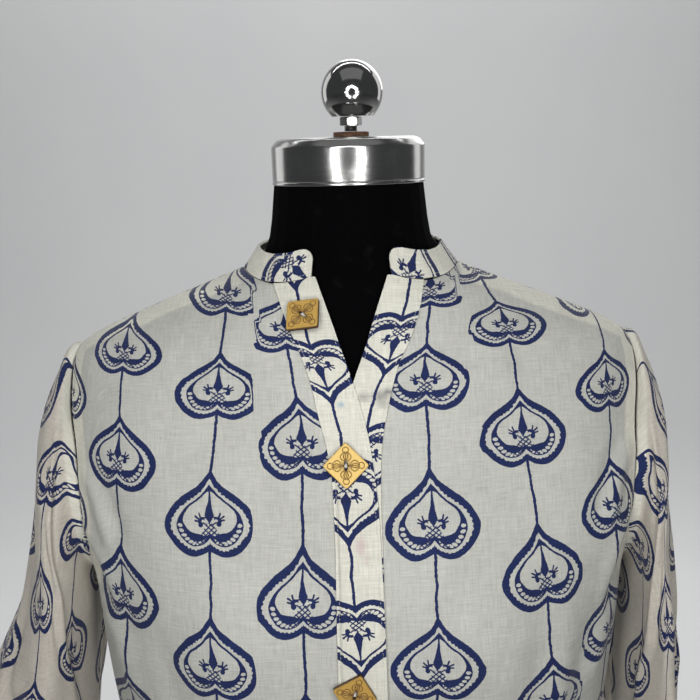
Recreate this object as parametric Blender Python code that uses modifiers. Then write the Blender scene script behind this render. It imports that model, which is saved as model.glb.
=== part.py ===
"""Kurta tunic worn by a limbless dress form.

Metres, +Z up. The origin is the middle of the stand's underside, on the floor.
The garment's front faces -Y, so +X is on the right of someone who looks at the front.
Left and right in the names are that person's left and right.

The body of the kurta is one smooth surface, given by level sections. Each section is a ring
between an ellipse and a box, with its own half width, front depth, back depth and squareness.
The panels, bands and collar are thin walls cut from that surface. The form lies just inside it.
"""

from collections import namedtuple
from math import asin, cos, degrees, exp, pi, radians, sin

import bmesh
import bpy
from mathutils import Matrix, Vector

# Driving sizes
SHOULDER_NECK_Z = 1.387  # where the shoulder seam meets the collar
SHOULDER_NECK_X = 0.076
SHOULDER_TIP_X = 0.197
KURTA_LENGTH = 1.000
UNDERARM_Z = 1.165
SLIT_TOP_Z = 0.780
SLIT_DEGREES = 5.0  # how far each edge of a side slit draws back at the hem
PLACKET_END_Z = 1.062
HEM_Z = SHOULDER_NECK_Z - KURTA_LENGTH

# Cloth and the room between pieces
CLOTH = 0.0012
COLLAR_CLOTH = 0.0020
GAP = 0.0003
SEAM = 0.0005
LAYER = 0.0018  # from one cloth's outer face to the next one's

# Sections of the kurta's outer surface
Section = namedtuple("Section", "z half_width front back squareness")
KURTA = (
    Section(HEM_Z, 0.2150, 0.1350, 0.1300, 2.20),
    Section(0.560, 0.2070, 0.1330, 0.1280, 2.20),
    Section(0.760, 0.1980, 0.1300, 0.1250, 2.30),
    Section(0.880, 0.1900, 0.1220, 0.1180, 2.30),
    Section(0.985, 0.1780, 0.1120, 0.1020, 2.30),
    Section(1.070, 0.1860, 0.1210, 0.1040, 2.40),
    Section(1.135, 0.1915, 0.1280, 0.1080, 2.50),
    Section(UNDERARM_Z, 0.1940, 0.1270, 0.1100, 2.50),
    Section(1.205, 0.2040, 0.1210, 0.1120, 2.50),
    Section(1.265, 0.2130, 0.1060, 0.1080, 2.35),
    Section(1.295, 0.2125, 0.0975, 0.1050, 2.20),
    Section(1.320, 0.2070, 0.0905, 0.1000, 2.05),
    Section(1.335, 0.1965, 0.0855, 0.0970, 1.90),
    Section(1.345, 0.1800, 0.0830, 0.0920, 1.85),
    Section(1.362, 0.1395, 0.0760, 0.0850, 1.80),
    Section(SHOULDER_NECK_Z, SHOULDER_NECK_X, 0.0680, 0.0660, 1.80),
)

# Sections of the form inside it
FORM = (
    Section(0.7150, 0.1700, 0.1050, 0.1120, 2.30),
    Section(0.7900, 0.1760, 0.1080, 0.1180, 2.30),
    Section(0.8800, 0.1620, 0.1000, 0.1020, 2.30),
    Section(0.9850, 0.1340, 0.0920, 0.0860, 2.30),
    Section(1.0700, 0.1450, 0.1020, 0.0910, 2.40),
    Section(1.1350, 0.1600, 0.1170, 0.0980, 2.50),
    Section(1.1650, 0.1660, 0.1170, 0.1010, 2.50),
    Section(1.2050, 0.1780, 0.1120, 0.1040, 2.50),
    Section(1.2650, 0.1920, 0.0990, 0.1010, 2.35),
    Section(1.2950, 0.1970, 0.0915, 0.0980, 2.20),
    Section(1.3180, 0.2000, 0.0850, 0.0940, 2.05),
    Section(1.3330, 0.1965, 0.0815, 0.0920, 1.90),
    Section(1.3430, 0.1800, 0.0790, 0.0880, 1.85),
    Section(1.3600, 0.1395, 0.0720, 0.0800, 1.80),
    Section(1.3850, 0.0755, 0.0640, 0.0620, 1.80),
    Section(1.3910, 0.0665, 0.0600, 0.0570, 1.85),
    Section(1.3980, 0.0610, 0.0575, 0.0550, 1.90),
    Section(1.4075, 0.0575, 0.0555, 0.0535, 2.00),
    Section(1.4190, 0.0556, 0.0545, 0.0525, 2.00),
    Section(1.4433, 0.0530, 0.0530, 0.0515, 2.00),
)
FORM_RING_HEIGHTS = (
    0.715, 0.752, 0.790, 0.835, 0.880, 0.932, 0.985, 1.028, 1.070, 1.104, 1.135, 1.165, 1.205,
    1.240, 1.270, 1.295, 1.313, 1.324, 1.3325, 1.340, 1.350, 1.362, 1.374, 1.385, 1.391, 1.398,
    1.4075, 1.419, 1.4433,
)
FORM_POINTS = 28
ARM_PLATE_X = 0.174  # the flat plates where arms would be

# Two soft mounds on the chest
BUST_X, BUST_Z = 0.088, 1.135
BUST_WIDTH, BUST_TALL = 0.035, 0.055
KURTA_BUST, FORM_BUST = 0.006, 0.011

# Armhole: where a body panel ends at a height
Armhole = namedtuple("Armhole", "z x")
ARMHOLE = (
    Armhole(UNDERARM_Z, 0.1940),
    Armhole(1.190, 0.1925),
    Armhole(1.225, 0.1920),
    Armhole(1.265, 0.1940),
    Armhole(1.300, 0.1980),
    Armhole(1.320, 0.1985),
    Armhole(1.335, SHOULDER_TIP_X),
)

# The front neckline by half width
Neckline = namedtuple("Neckline", "x z")
NECKLINE = (
    Neckline(0.026, 1.3855),
    Neckline(0.036, 1.3825),
    Neckline(0.050, 1.3805),
    Neckline(0.064, 1.3825),
    Neckline(SHOULDER_NECK_X, SHOULDER_NECK_Z),
)

# Front opening: where each placket band is sewn to its panel and where its free edge lies, both
# measured from the centre towards that band's own side. The top band is on the viewer's left
Band = namedtuple("Band", "z edge free")
BAND_TOP = (
    Band(1.050, 0.0118, -0.0170),
    Band(1.135, 0.0114, -0.0161),
    Band(1.172, 0.0112, -0.0154),
    Band(1.2106, 0.0108, -0.0144),
    Band(1.2384, 0.0112, -0.0134),
    Band(1.2593, 0.0120, -0.0114),
    Band(1.2791, 0.0153, -0.0088),
    Band(1.2945, 0.0192, -0.0054),
    Band(1.3182, 0.0246, 0.0017),
    Band(1.3429, 0.0332, 0.0101),
    Band(1.3522, 0.0372, 0.0134),
    Band(1.382, 0.0480, 0.0240),
)
BAND_UNDER = (
    Band(1.050, 0.0160, -0.0105),
    Band(1.172, 0.0158, -0.0105),
    Band(1.2384, 0.0152, -0.0104),
    Band(1.2653, 0.0157, -0.0098),
    Band(1.2770, 0.0167, -0.0085),
    Band(1.2972, 0.0205, -0.0056),
    Band(1.3138, 0.0249, -0.0014),
    Band(1.3308, 0.0306, 0.0052),
    Band(1.3402, 0.0352, 0.0088),
    Band(1.3578, 0.0425, 0.0150),
    Band(1.382, 0.0480, 0.0240),
)
BAND_MARGIN = 0.004  # the top band is sewn on this much further out than its edge
BAND_COLUMNS = 6

# Hanging folds of the skirt: angle round from the centre front by +X, half width in degrees, how
# far the fold stands out at the hem, and the height where it starts
Fold = namedtuple("Fold", "degrees width height start_z")
FOLDS = (
    Fold(14, 9, 0.006, 0.95),
    Fold(40, 10, 0.011, 1.02),
    Fold(66, 9, 0.008, 0.93),
    Fold(100, 10, 0.009, 0.95),
    Fold(128, 11, 0.012, 1.05),
    Fold(158, 9, 0.007, 0.98),
    Fold(187, 10, 0.010, 1.05),
    Fold(214, 9, 0.008, 0.97),
    Fold(243, 11, 0.011, 1.02),
    Fold(268, 8, 0.008, 0.92),
    Fold(298, 10, 0.010, 1.00),
    Fold(325, 9, 0.007, 0.94),
    Fold(347, 8, 0.009, 1.00),
)

# Rows of the panels
LOWER_HEIGHTS = (
    HEM_Z, 0.445, 0.505, 0.565, 0.620, 0.675, 0.728, SLIT_TOP_Z, 0.835, 0.885, 0.935, 0.985,
    1.025, PLACKET_END_Z, 1.095, 1.130, UNDERARM_Z,
)
UPPER_ROWS = 12
FRONT_TOP_X = (0.044, 0.052, 0.066, 0.0735, SHOULDER_NECK_X)
BACK_TOP_X = (0.0, 0.024, 0.045, 0.061, 0.0715, SHOULDER_NECK_X)
COLUMNS = 12

# Sleeve rings, from the armhole down. A ring runs between its outer point and its inner point,
# which faces the body, and is this deep to the front and to the back
Ring = namedtuple("Ring", "outer_x outer_z inner_x inner_z half_depth")
SLEEVE_RIGHT = (
    Ring(0.2032, 1.3330, 0.1970, 1.163, 0.060),
    Ring(0.2113, 1.3190, 0.1985, 1.155, 0.066),
    Ring(0.2176, 1.3030, 0.1985, 1.140, 0.071),
    Ring(0.2195, 1.2890, 0.1980, 1.120, 0.074),
    Ring(0.2212, 1.2595, 0.1970, 1.095, 0.075),
    Ring(0.2248, 1.2250, 0.1965, 1.070, 0.075),
    Ring(0.2291, 1.1800, 0.1970, 1.050, 0.075),
    Ring(0.2327, 1.1340, 0.1975, 1.035, 0.074),
    Ring(0.2404, 1.0400, 0.1980, 1.000, 0.072),
    Ring(0.2455, 0.9800, 0.2000, 0.960, 0.070),
    Ring(0.2488, 0.9400, 0.2020, 0.925, 0.068),
    Ring(0.2517, 0.9000, 0.2040, 0.895, 0.066),
)
SLEEVE_LEFT = (
    Ring(0.2041, 1.3330, 0.1970, 1.163, 0.060),
    Ring(0.2120, 1.3190, 0.1985, 1.155, 0.066),
    Ring(0.2180, 1.3070, 0.1985, 1.143, 0.070),
    Ring(0.2262, 1.2830, 0.1988, 1.128, 0.074),
    Ring(0.2290, 1.2580, 0.2000, 1.112, 0.074),
    Ring(0.2326, 1.2220, 0.2025, 1.090, 0.074),
    Ring(0.2418, 1.1800, 0.2045, 1.072, 0.073),
    Ring(0.2557, 1.1400, 0.2065, 1.056, 0.071),
    Ring(0.2840, 1.0760, 0.2096, 1.040, 0.067),
    Ring(0.3010, 1.0150, 0.2165, 0.990, 0.062),
    Ring(0.3120, 0.9500, 0.2240, 0.940, 0.058),
    Ring(0.3180, 0.9000, 0.2300, 0.895, 0.055),
)

# Lengthwise folds of a sleeve: angle round from the outside by the front, half width, how far
# it stands out, and the ring where it starts
SleeveFold = namedtuple("SleeveFold", "degrees width height ring")
FOLDS_RIGHT = (
    SleeveFold(58, 17, -0.006, 4),
    SleeveFold(92, 16, 0.007, 3),
    SleeveFold(245, 20, 0.006, 5),
    SleeveFold(300, 20, -0.005, 4),
)
FOLDS_LEFT = (
    SleeveFold(66, 16, -0.007, 6),
    SleeveFold(108, 17, 0.006, 4),
    SleeveFold(238, 20, 0.006, 6),
    SleeveFold(290, 18, -0.005, 5),
)

# Collar
COLLAR_RISE_FRONT, COLLAR_RISE_SIDE = 0.0200, 0.0140
COLLAR_LEAN_FRONT, COLLAR_LEAN_SIDE = 0.0055, 0.0105
COLLAR_SEAT = 0.0009  # the leaning wall stands this much higher where it leans most
COLLAR_END_X = 0.026
COLLAR_END_ROUND = 0.011
COLLAR_END_STEPS = (0.0, 0.0015, 0.0040, 0.0075, 0.0120)
COLLAR_STATIONS = 36
COLLAR_ROWS = 3

# Square wooden buttons, seated on the top band
BUTTON_SIDE, BUTTON_THICK = 0.0212, 0.0033
BUTTON_CORNER = 0.0014
BUTTON_SEAT = 0.0005
SLOT_WIDTH, SLOT_LENGTH, SLOT_DEGREES = 0.0021, 0.0066, -45  # the slot runs from corner to corner
# turn is in the button's plane. The thread is slack, so a button may lean back and to one side
Button = namedtuple("Button", "name x z turn back aside")
BUTTONS = (
    Button("button_top", -0.0303, 1.3583, -84.5, 15, 8),
    Button("button_middle", -0.0067, 1.2688, 45, 0, 0),
    Button("button_low", -0.0048, 1.1243, 28.6, 0, 0),
)

# Cap and ball on the form's neck, and the stand
CAP_LOW_Z, CAP_EDGE_Z, CAP_TOP_Z = 1.4436, 1.4695, 1.4752
CAP_RADIUS, CAP_TOP_RADIUS = 0.0540, 0.0470
FINIAL_X = 0.0025  # the bolt is a little off the cap's centre
WASHER_RADIUS, WASHER_LOW_Z, WASHER_TOP_Z = 0.0125, 1.4755, 1.4792
STUD_RADIUS, STUD_LOW_Z, STUD_TOP_Z = 0.0048, 1.4795, 1.4830
NUT_ACROSS, NUT_LOW_Z, NUT_TOP_Z = 0.0138, 1.4833, 1.4893
BALL_RADIUS, BALL_TALL, BALL_FLAT_Z, BALL_Z = 0.0215, 0.0222, 1.4896, 1.5060
BALL_X = 0.0038
POLE_RADIUS, POLE_LOW_Z, POLE_TOP_Z = 0.0125, 0.0423, 0.7147
BASE_PROFILE = (
    (0.0, 0.042), (0.021, 0.042), (0.024, 0.038), (0.026, 0.016), (0.180, 0.012),
    (0.190, 0.008), (0.190, 0.0), (0.0, 0.0),
)


def smooth(t):
    t = min(1.0, max(0.0, t))
    return t * t * (3.0 - 2.0 * t)


def mix(a, b, t):
    return a + (b - a) * t


def read(rows, column, at, key="z"):
    """A column of a table at a height, on a smooth curve that never overshoots its rows."""
    xs = [getattr(row, key) for row in rows]
    ys = [getattr(row, column) for row in rows]
    at = min(max(at, xs[0]), xs[-1])
    k = 0
    while k < len(xs) - 2 and at > xs[k + 1]:
        k += 1
    slopes = [(ys[i + 1] - ys[i]) / (xs[i + 1] - xs[i]) for i in range(len(xs) - 1)]

    def tangent(i):
        if i == 0:
            return slopes[0]
        if i == len(slopes):
            return slopes[-1]
        if slopes[i - 1] * slopes[i] <= 0.0:
            return 0.0
        return 2.0 * slopes[i - 1] * slopes[i] / (slopes[i - 1] + slopes[i])

    h = xs[k + 1] - xs[k]
    t = (at - xs[k]) / h
    start = ys[k] * (1 + 2 * t) + tangent(k) * h * t
    stop = ys[k + 1] * (3 - 2 * t) + tangent(k + 1) * h * (t - 1)
    return start * (1 - t) ** 2 + stop * t * t


def surface(rows, x, z, face, bust):
    """A point of a body surface and its angle round. face is -1 at the front, 1 at the back."""
    half = read(rows, "half_width", z)
    depth = read(rows, "front" if face < 0 else "back", z)
    n = read(rows, "squareness", z)
    share = min(abs(x) / half, 1.0)
    reach = depth * (1.0 - share**n) ** (1.0 / n)
    if face < 0:
        mound = ((abs(x) - BUST_X) / BUST_WIDTH) ** 2 + ((z - BUST_Z) / BUST_TALL) ** 2
        reach += bust * exp(-mound) * min(1.0, 4.0 * (1.0 - share))
    angle = asin(share ** (n / 2.0))
    ring = angle if face < 0 else pi - angle
    return Vector((x, face * reach, z)), ring if x >= 0 else 2.0 * pi - ring


def skirt_push(ring, z):
    """How far the hanging folds stand out at an angle round and a height."""
    push = 0.0
    for fold in FOLDS:
        away = (degrees(ring) - fold.degrees + 180.0) % 360.0 - 180.0
        rise = smooth((fold.start_z - z) / (fold.start_z - HEM_Z))
        push += fold.height * exp(-((away / fold.width) ** 2)) * rise
    return push


def kurta_point(x, z, face, lift=0.0):
    """A point of the kurta's outer surface, or lift outside it."""
    point, ring = surface(KURTA, x, z, face, KURTA_BUST)
    push = skirt_push(ring, z)
    point += Vector((sin(ring), -cos(ring), 0.0)) * push
    if lift:
        point += kurta_normal(x, z, face) * lift
    return point


def kurta_normal(x, z, face):
    """Outward direction of the kurta's surface at a place."""
    step = 0.0015
    across = kurta_point(x + step, z, face) - kurta_point(x - step, z, face)
    up = kurta_point(x, z + step, face) - kurta_point(x, z - step, face)
    return (across.cross(up) * -face).normalized()


def ridge_z(x):
    """Height of the shoulder line at a half width."""
    low, high = 1.320, SHOULDER_NECK_Z
    for _ in range(30):
        middle = (low + high) / 2.0
        if read(KURTA, "half_width", middle) > x:
            low = middle
        else:
            high = middle
    return (low + high) / 2.0


def neckline_z(x):
    return read(NECKLINE, "z", abs(x), key="x")


def band_edge(z, sign):
    return read(BAND_UNDER if sign > 0 else BAND_TOP, "edge", z)


def band_free_edge(z, sign):
    """A band's free edge. Below the V it lies across the centre line."""
    return read(BAND_UNDER if sign > 0 else BAND_TOP, "free", z)


def front_inner_x(z, sign):
    """Where a front panel ends: the centre seam low down, just under its band in the V."""
    cover = mix(0.0160, BAND_MARGIN, smooth((z - 1.261) / 0.050))
    return max(SEAM / 2.0, band_edge(z, sign) - cover)


def front_second_x(z, sign):
    """The panel's second line of points, just outside the band's edge."""
    return band_edge(z, sign) + BAND_MARGIN


def top_line(face):
    """The panel's top edge at +X: along the neckline, then along the shoulder seam."""
    neck = FRONT_TOP_X if face < 0 else BACK_TOP_X
    rest = COLUMNS + 1 - len(neck)
    xs = list(neck)
    xs += [mix(SHOULDER_NECK_X, SHOULDER_TIP_X, (i + 1) / rest) for i in range(rest)]
    line = []
    for x in xs:
        if x > SHOULDER_NECK_X:
            line.append((x, ridge_z(x)))
        else:
            line.append((x, neckline_z(x) if face < 0 else SHOULDER_NECK_Z))
    return line


def row_places(z, face, slit, sign):
    """Half widths of a level row, from the centre to the side."""
    half = read(KURTA, "half_width", z)
    power = 2.0 / read(KURTA, "squareness", z)
    if face > 0:
        return [half * sin(radians((90.0 - slit) * i / COLUMNS)) ** power for i in range(COLUMNS + 1)]
    places = [front_inner_x(z, sign), front_second_x(z, sign)]
    for i in range(1, COLUMNS):
        share = sin(radians((90.0 - slit) * i / (COLUMNS - 1))) ** power
        places.append(mix(places[1], half, share))
    return places


def panel_rows(face, sign):
    """Rows of points of half a body panel on the side of sign, hem first, from the centre out."""
    rows = []
    for z in LOWER_HEIGHTS:
        slit = SLIT_DEGREES * smooth((SLIT_TOP_Z - z) / (SLIT_TOP_Z - HEM_Z))
        row = [kurta_point(sign * x, z, face) for x in row_places(z, face, slit, sign)]
        if abs(row[-1].y) < SEAM / 2.0:
            row[-1].y = face * SEAM / 2.0
        rows.append(row)
    top = top_line(face)
    for k in range(1, UPPER_ROWS + 1):
        rise = k / UPPER_ROWS
        blend = smooth(rise)
        row = []
        for i, (top_x, top_z) in enumerate(top):
            crowd = mix(1.35, 2.0, smooth((i - 1) / 3.0))
            z = top_z - (top_z - UNDERARM_Z) * (1.0 - rise) ** crowd
            if k == UPPER_ROWS:
                x = top_x
            elif face < 0 and i == 0:
                x = front_inner_x(z, sign)
            elif face < 0 and i == 1:
                x = front_second_x(z, sign)
            else:
                start = front_second_x(z, sign) if face < 0 else 0.0
                stop = read(ARMHOLE, "x", z)
                low = row_places(UNDERARM_Z, face, 0.0, sign)
                first = 1 if face < 0 else 0
                low_share = (low[i] - low[first]) / (low[-1] - low[first])
                top_share = (top_x - top[first][0]) / (top[-1][0] - top[first][0])
                x = mix(start, stop, mix(low_share, top_share, blend))
            point = kurta_point(sign * x, z, face)
            if k == UPPER_ROWS and abs(point.y) < SEAM / 2.0:
                point.y = face * SEAM / 2.0
            row.append(point)
        rows.append(row)
    return rows


def new_collection(name):
    found = bpy.data.collections.new(name)
    bpy.context.scene.collection.children.link(found)
    return found


def make_material(name, colour, roughness, metallic=0.0):
    material = bpy.data.materials.new(name)
    material.use_nodes = True
    shader = material.node_tree.nodes["Principled BSDF"]
    shader.inputs["Base Color"].default_value = (*colour, 1.0)
    shader.inputs["Roughness"].default_value = roughness
    shader.inputs["Metallic"].default_value = metallic
    return material


def add_object(name, mesh, material):
    mesh.materials.append(material)
    item = bpy.data.objects.new(name, mesh)
    parts.objects.link(item)
    return item


def sheet_mesh(name, rows, centre, closed):
    """Faces through rows of points, turned so that they look away from centre."""
    bm = bmesh.new()
    grid = [[bm.verts.new(p) for p in row] for row in rows]
    for low, high in zip(grid, grid[1:]):
        count = len(low)
        for i in range(count if closed else count - 1):
            j = (i + 1) % count
            bm.faces.new((low[i], low[j], high[j], high[i]))
    bm.normal_update()
    facing = sum(f.normal.dot(f.calc_center_median() - centre) * f.calc_area() for f in bm.faces)
    if facing < 0:
        bmesh.ops.reverse_faces(bm, faces=bm.faces)
    mesh = bpy.data.meshes.new(name)
    bm.to_mesh(mesh)
    bm.free()
    mesh.shade_smooth()
    return mesh


def triangulate(item):
    split = item.modifiers.new("triangles", "TRIANGULATE")
    split.quad_method = "SHORTEST_DIAGONAL"


def add_wall(name, rows, material, cloth=CLOTH, centre=(0.0, 0.0, 1.1), closed=False):
    """A cloth wall. The rows are its outer face and it is thickened inwards."""
    item = add_object(name, sheet_mesh(name, rows, Vector(centre), closed), material)
    wall = item.modifiers.new("wall", "SOLIDIFY")
    wall.thickness = cloth
    wall.offset = -1.0
    triangulate(item)
    return item


def add_panels(material):
    """The two fronts and the back. Gives back the points of each quarter for the sleeves."""
    quarters = {}
    for sign, side in ((-1, "left"), (1, "right")):
        quarters[side, "front"] = panel_rows(-1, sign)
        quarters[side, "back"] = panel_rows(1, sign)
        add_wall(f"kurta_front_{side}", quarters[side, "front"], material)
    pairs = zip(quarters["left", "back"], quarters["right", "back"])
    add_wall("kurta_back", [left[:0:-1] + right for left, right in pairs], material)
    return quarters


def armhole_loop(front, back):
    """Points of an armhole from the shoulder tip by the front to the underarm and up the back,
    each with the direction in which the body's surface runs on past it."""
    first = len(LOWER_HEIGHTS) - 1
    front_edge = [(row[-1], row[-1] - row[-2]) for row in front[first:]][::-1]
    back_edge = [(row[-1], row[-1] - row[-2]) for row in back[first:]]

    def middle(a, b):
        return ((a[0] + b[0]) / 2.0, (a[1] + b[1]) / 2.0)

    tip = middle(front_edge[0], back_edge[-1])
    underarm = middle(front_edge[-1], back_edge[0])
    underarm = (underarm[0], Vector((0.0, 0.0, 1.0)))
    pairs = [tip] + front_edge[1:-1] + [underarm] + back_edge[1:-1]
    loop = []
    for i, (point, leave) in enumerate(pairs):
        along = (pairs[(i + 1) % len(pairs)][0] - pairs[i - 1][0]).normalized()
        leave = leave - along * leave.dot(along)
        loop.append((point, leave.normalized()))
    return loop


def ring_angles(loop):
    """Angle round a sleeve for each point of its armhole, by length along the edge."""
    half = len(loop) // 2
    points = [point for point, _ in loop] + [loop[0][0]]
    angles = []
    for start in (0, half):
        lengths = [0.0]
        for a, b in zip(points[start:start + half], points[start + 1:start + half + 1]):
            lengths.append(lengths[-1] + (b - a).length)
        angles += [pi * (at / lengths[-1]) + (pi if start else 0.0) for at in lengths[:-1]]
    return angles


def sleeve_push(folds, angle, ring):
    """How far a sleeve's lengthwise folds stand out at an angle round and a ring."""
    push = 0.0
    for fold in folds:
        away = (degrees(angle) - fold.degrees + 180.0) % 360.0 - 180.0
        push += fold.height * exp(-((away / fold.width) ** 2)) * smooth((ring - fold.ring) / 4.0)
    return push


def sleeve_rows(loop, rings, folds, sign):
    """Rings of a sleeve on the side of sign, armhole first."""
    angles = ring_angles(loop)
    rows = [[point + leave * SEAM for point, leave in loop]]
    for k, ring in enumerate(rings):
        outer = Vector((ring.outer_x, 0.0, ring.outer_z))
        inner = Vector((ring.inner_x, 0.0, ring.inner_z))
        middle = (outer + inner) / 2.0
        reach = (outer - inner) / 2.0
        row = []
        for angle in angles:
            push = sleeve_push(folds, angle, k)
            out = Vector((0.0, -sin(angle), 0.0)) + reach.normalized() * cos(angle)
            point = middle + reach * cos(angle)
            point.y = -ring.half_depth * sin(angle)
            point += out * push
            point.x = sign * max(point.x, 0.1965)
            row.append(point)
        rows.append(row)
    return rows


def add_sleeves(quarters, material):
    for side, sign, rings, folds in (
        ("right", 1, SLEEVE_RIGHT, FOLDS_RIGHT),
        ("left", -1, SLEEVE_LEFT, FOLDS_LEFT),
    ):
        loop = armhole_loop(quarters[side, "front"], quarters[side, "back"])
        rows = sleeve_rows(loop, rings, folds, sign)
        add_wall(f"sleeve_{side}", rows, material, centre=(sign * 0.217, 0.0, 1.1), closed=True)


def band_heights(x):
    """Heights of a band's rows, which are the rows of the panel under it."""
    low = [z for z in LOWER_HEIGHTS if z >= PLACKET_END_Z]
    top = neckline_z(x)
    steps = [(1.0 - k / UPPER_ROWS) ** 1.35 for k in range(1, UPPER_ROWS + 1)]
    return low + [top - (top - UNDERARM_Z) * step for step in steps]


def band_places(z, sign):
    """Half widths across a band at a height, from its sewn edge to its free edge."""
    edge, free = band_edge(z, sign), band_free_edge(z, sign)
    if sign > 0:
        return [mix(edge, free, i / BAND_COLUMNS) for i in range(BAND_COLUMNS + 1)]
    sewn = edge + BAND_MARGIN
    step = max(-sewn + 0.0022, min(band_free_edge(z, 1) - 0.0012, -free - 0.0120))
    foot = mix(-sewn, step, 0.4)
    rest = BAND_COLUMNS - 2
    return [-sewn, foot] + [mix(step, -free, i / rest) for i in range(rest + 1)]


def top_lift(x, z):
    """The top band lies on its panel, and steps up on to the under band where they cross."""
    places = band_places(z, -1)
    step = min(1.0, max(0.0, (x - places[1]) / (places[2] - places[1])))
    return LAYER * (1.0 + step * smooth((1.345 - z) / 0.020))


def under_lift(x, z):
    return LAYER


def band_grid(sign, lift_at):
    """Rows of a band, low end first, each from its sewn edge to its free edge."""
    rows = []
    for k, row_z in enumerate(band_heights(0.05)):
        row = []
        for x in band_places(row_z, sign):
            z = band_heights(x)[k]
            z = min(z, neckline_z(x) - GAP)
            row.append(kurta_point(x, z, -1, lift_at(x, row_z)))
        rows.append(row)
    return rows


def add_bands(material):
    add_wall("placket_under", band_grid(1, under_lift), material)
    add_wall("placket_top", band_grid(-1, top_lift), material)


def neck_curve():
    """The line on which the collar stands, from its left front end round the back."""
    half = []
    count = 120
    for k in range(count + 1):
        turn = pi * k / count
        n = 2.0 / read(KURTA, "squareness", SHOULDER_NECK_Z)
        x = SHOULDER_NECK_X * sin(turn) ** n
        face = -1 if k < count / 2 else 1
        if face < 0 and x < COLLAR_END_X:
            continue
        z = neckline_z(x) if face < 0 else SHOULDER_NECK_Z
        lift = LAYER * smooth((0.060 - x) / 0.008) if face < 0 else 0.0
        point, _ = surface(KURTA, min(x, read(KURTA, "half_width", z)), z, face, 0.0)
        if lift:
            point += kurta_normal(x, z, face) * lift
        seat = SEAM + COLLAR_SEAT * smooth((x / SHOULDER_NECK_X) ** 2 / 0.5)
        half.append(point + Vector((0.0, 0.0, seat)))
    left = [Vector((-p.x, p.y, p.z)) for p in half]
    return left + half[-2::-1]


def collar_stations():
    """Points along the neck curve with their distance from the nearer end."""
    curve = neck_curve()
    lengths = [0.0]
    for a, b in zip(curve, curve[1:]):
        lengths.append(lengths[-1] + (b - a).length)
    total = lengths[-1]
    inner = COLLAR_END_STEPS[-1]
    places = list(COLLAR_END_STEPS)
    places += [mix(inner, total - inner, k / COLLAR_STATIONS) for k in range(1, COLLAR_STATIONS)]
    places += [total - d for d in COLLAR_END_STEPS[::-1]]
    stations = []
    for at in places:
        k = 0
        while k < len(lengths) - 2 and lengths[k + 1] < at:
            k += 1
        t = (at - lengths[k]) / (lengths[k + 1] - lengths[k])
        stations.append((curve[k].lerp(curve[k + 1], t), min(at, total - at)))
    return stations


def add_collar(material):
    stations = collar_stations()
    rows = []
    for j in range(COLLAR_ROWS + 1):
        row = []
        for point, from_end in stations:
            side = (point.x / SHOULDER_NECK_X) ** 2
            full = mix(COLLAR_RISE_FRONT, COLLAR_RISE_SIDE, side)
            cut = max(0.0, COLLAR_END_ROUND - from_end)
            height = full - COLLAR_END_ROUND + (COLLAR_END_ROUND**2 - cut**2) ** 0.5
            rise = height * j / COLLAR_ROWS
            lean = mix(COLLAR_LEAN_FRONT, COLLAR_LEAN_SIDE, side) * rise / full
            inward = Vector((-point.x, -point.y, 0.0)).normalized()
            row.append(point + inward * lean + Vector((0.0, 0.0, rise)))
        rows.append(row)
    add_wall("collar", rows, material, COLLAR_CLOTH, centre=(0.0, 0.0, 1.39))


def seat_matrix(button):
    """Where a button lies: along the band or leaning off it, just above the highest point of the
    cloth under the button."""
    out = kurta_normal(button.x, button.z, -1)
    up = Vector((0.0, 0.0, 1.0))
    up = (up - out * up.dot(out)).normalized()
    lean = Matrix.Rotation(radians(-button.back), 3, up.cross(out))
    lean = Matrix.Rotation(radians(-button.aside), 3, up) @ lean
    out, up = lean @ out, lean @ up
    here = kurta_point(button.x, button.z, -1, top_lift(button.x, button.z))
    turn = radians(button.turn)
    highest = 0.0
    for i in range(-3, 4):
        for j in range(-3, 4):
            a, b = BUTTON_SIDE * 0.52 * i / 3.0, BUTTON_SIDE * 0.52 * j / 3.0
            x = button.x + a * cos(turn) - b * sin(turn)
            z = button.z + a * sin(turn) + b * cos(turn)
            under = kurta_point(x, z, -1, top_lift(x, z)) - here
            highest = max(highest, under.dot(out))
    middle = here + out * (highest + BUTTON_SEAT + BUTTON_THICK / 2.0)
    turned = Matrix((up.cross(out), up, out)).transposed().to_4x4()
    return Matrix.Translation(middle) @ turned @ Matrix.Rotation(turn, 4, "Z")


def box_mesh(name, width, length, height):
    bm = bmesh.new()
    bmesh.ops.create_cube(bm, size=1.0)
    bmesh.ops.scale(bm, vec=(width, length, height), verts=bm.verts)
    return bm, bpy.data.meshes.new(name)


def add_button(button, material):
    """A square block with rounded corners and a slot through its middle for the thread."""
    place = seat_matrix(button)
    bm, mesh = box_mesh(button.name, BUTTON_SIDE, BUTTON_SIDE, BUTTON_THICK)
    upright = [e for e in bm.edges if abs(e.verts[0].co.z - e.verts[1].co.z) > BUTTON_THICK / 2.0]
    bmesh.ops.bevel(
        bm, geom=upright, offset=BUTTON_CORNER, segments=3, affect="EDGES", profile=0.5
    )
    bm.to_mesh(mesh)
    bm.free()
    item = add_object(button.name, mesh, material)
    item.matrix_world = place
    bm, slot_mesh = box_mesh(f"{button.name}_slot", SLOT_WIDTH, SLOT_LENGTH, BUTTON_THICK * 2.0)
    bm.to_mesh(slot_mesh)
    bm.free()
    slot = bpy.data.objects.new(slot_mesh.name, slot_mesh)
    cutters.objects.link(slot)
    slot.matrix_world = place @ Matrix.Rotation(radians(SLOT_DEGREES), 4, "Z")
    slot.hide_render = True
    slot.display_type = "WIRE"
    cut = item.modifiers.new("slot", "BOOLEAN")
    cut.operation = "DIFFERENCE"
    cut.solver = "EXACT"
    cut.object = slot


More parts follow.
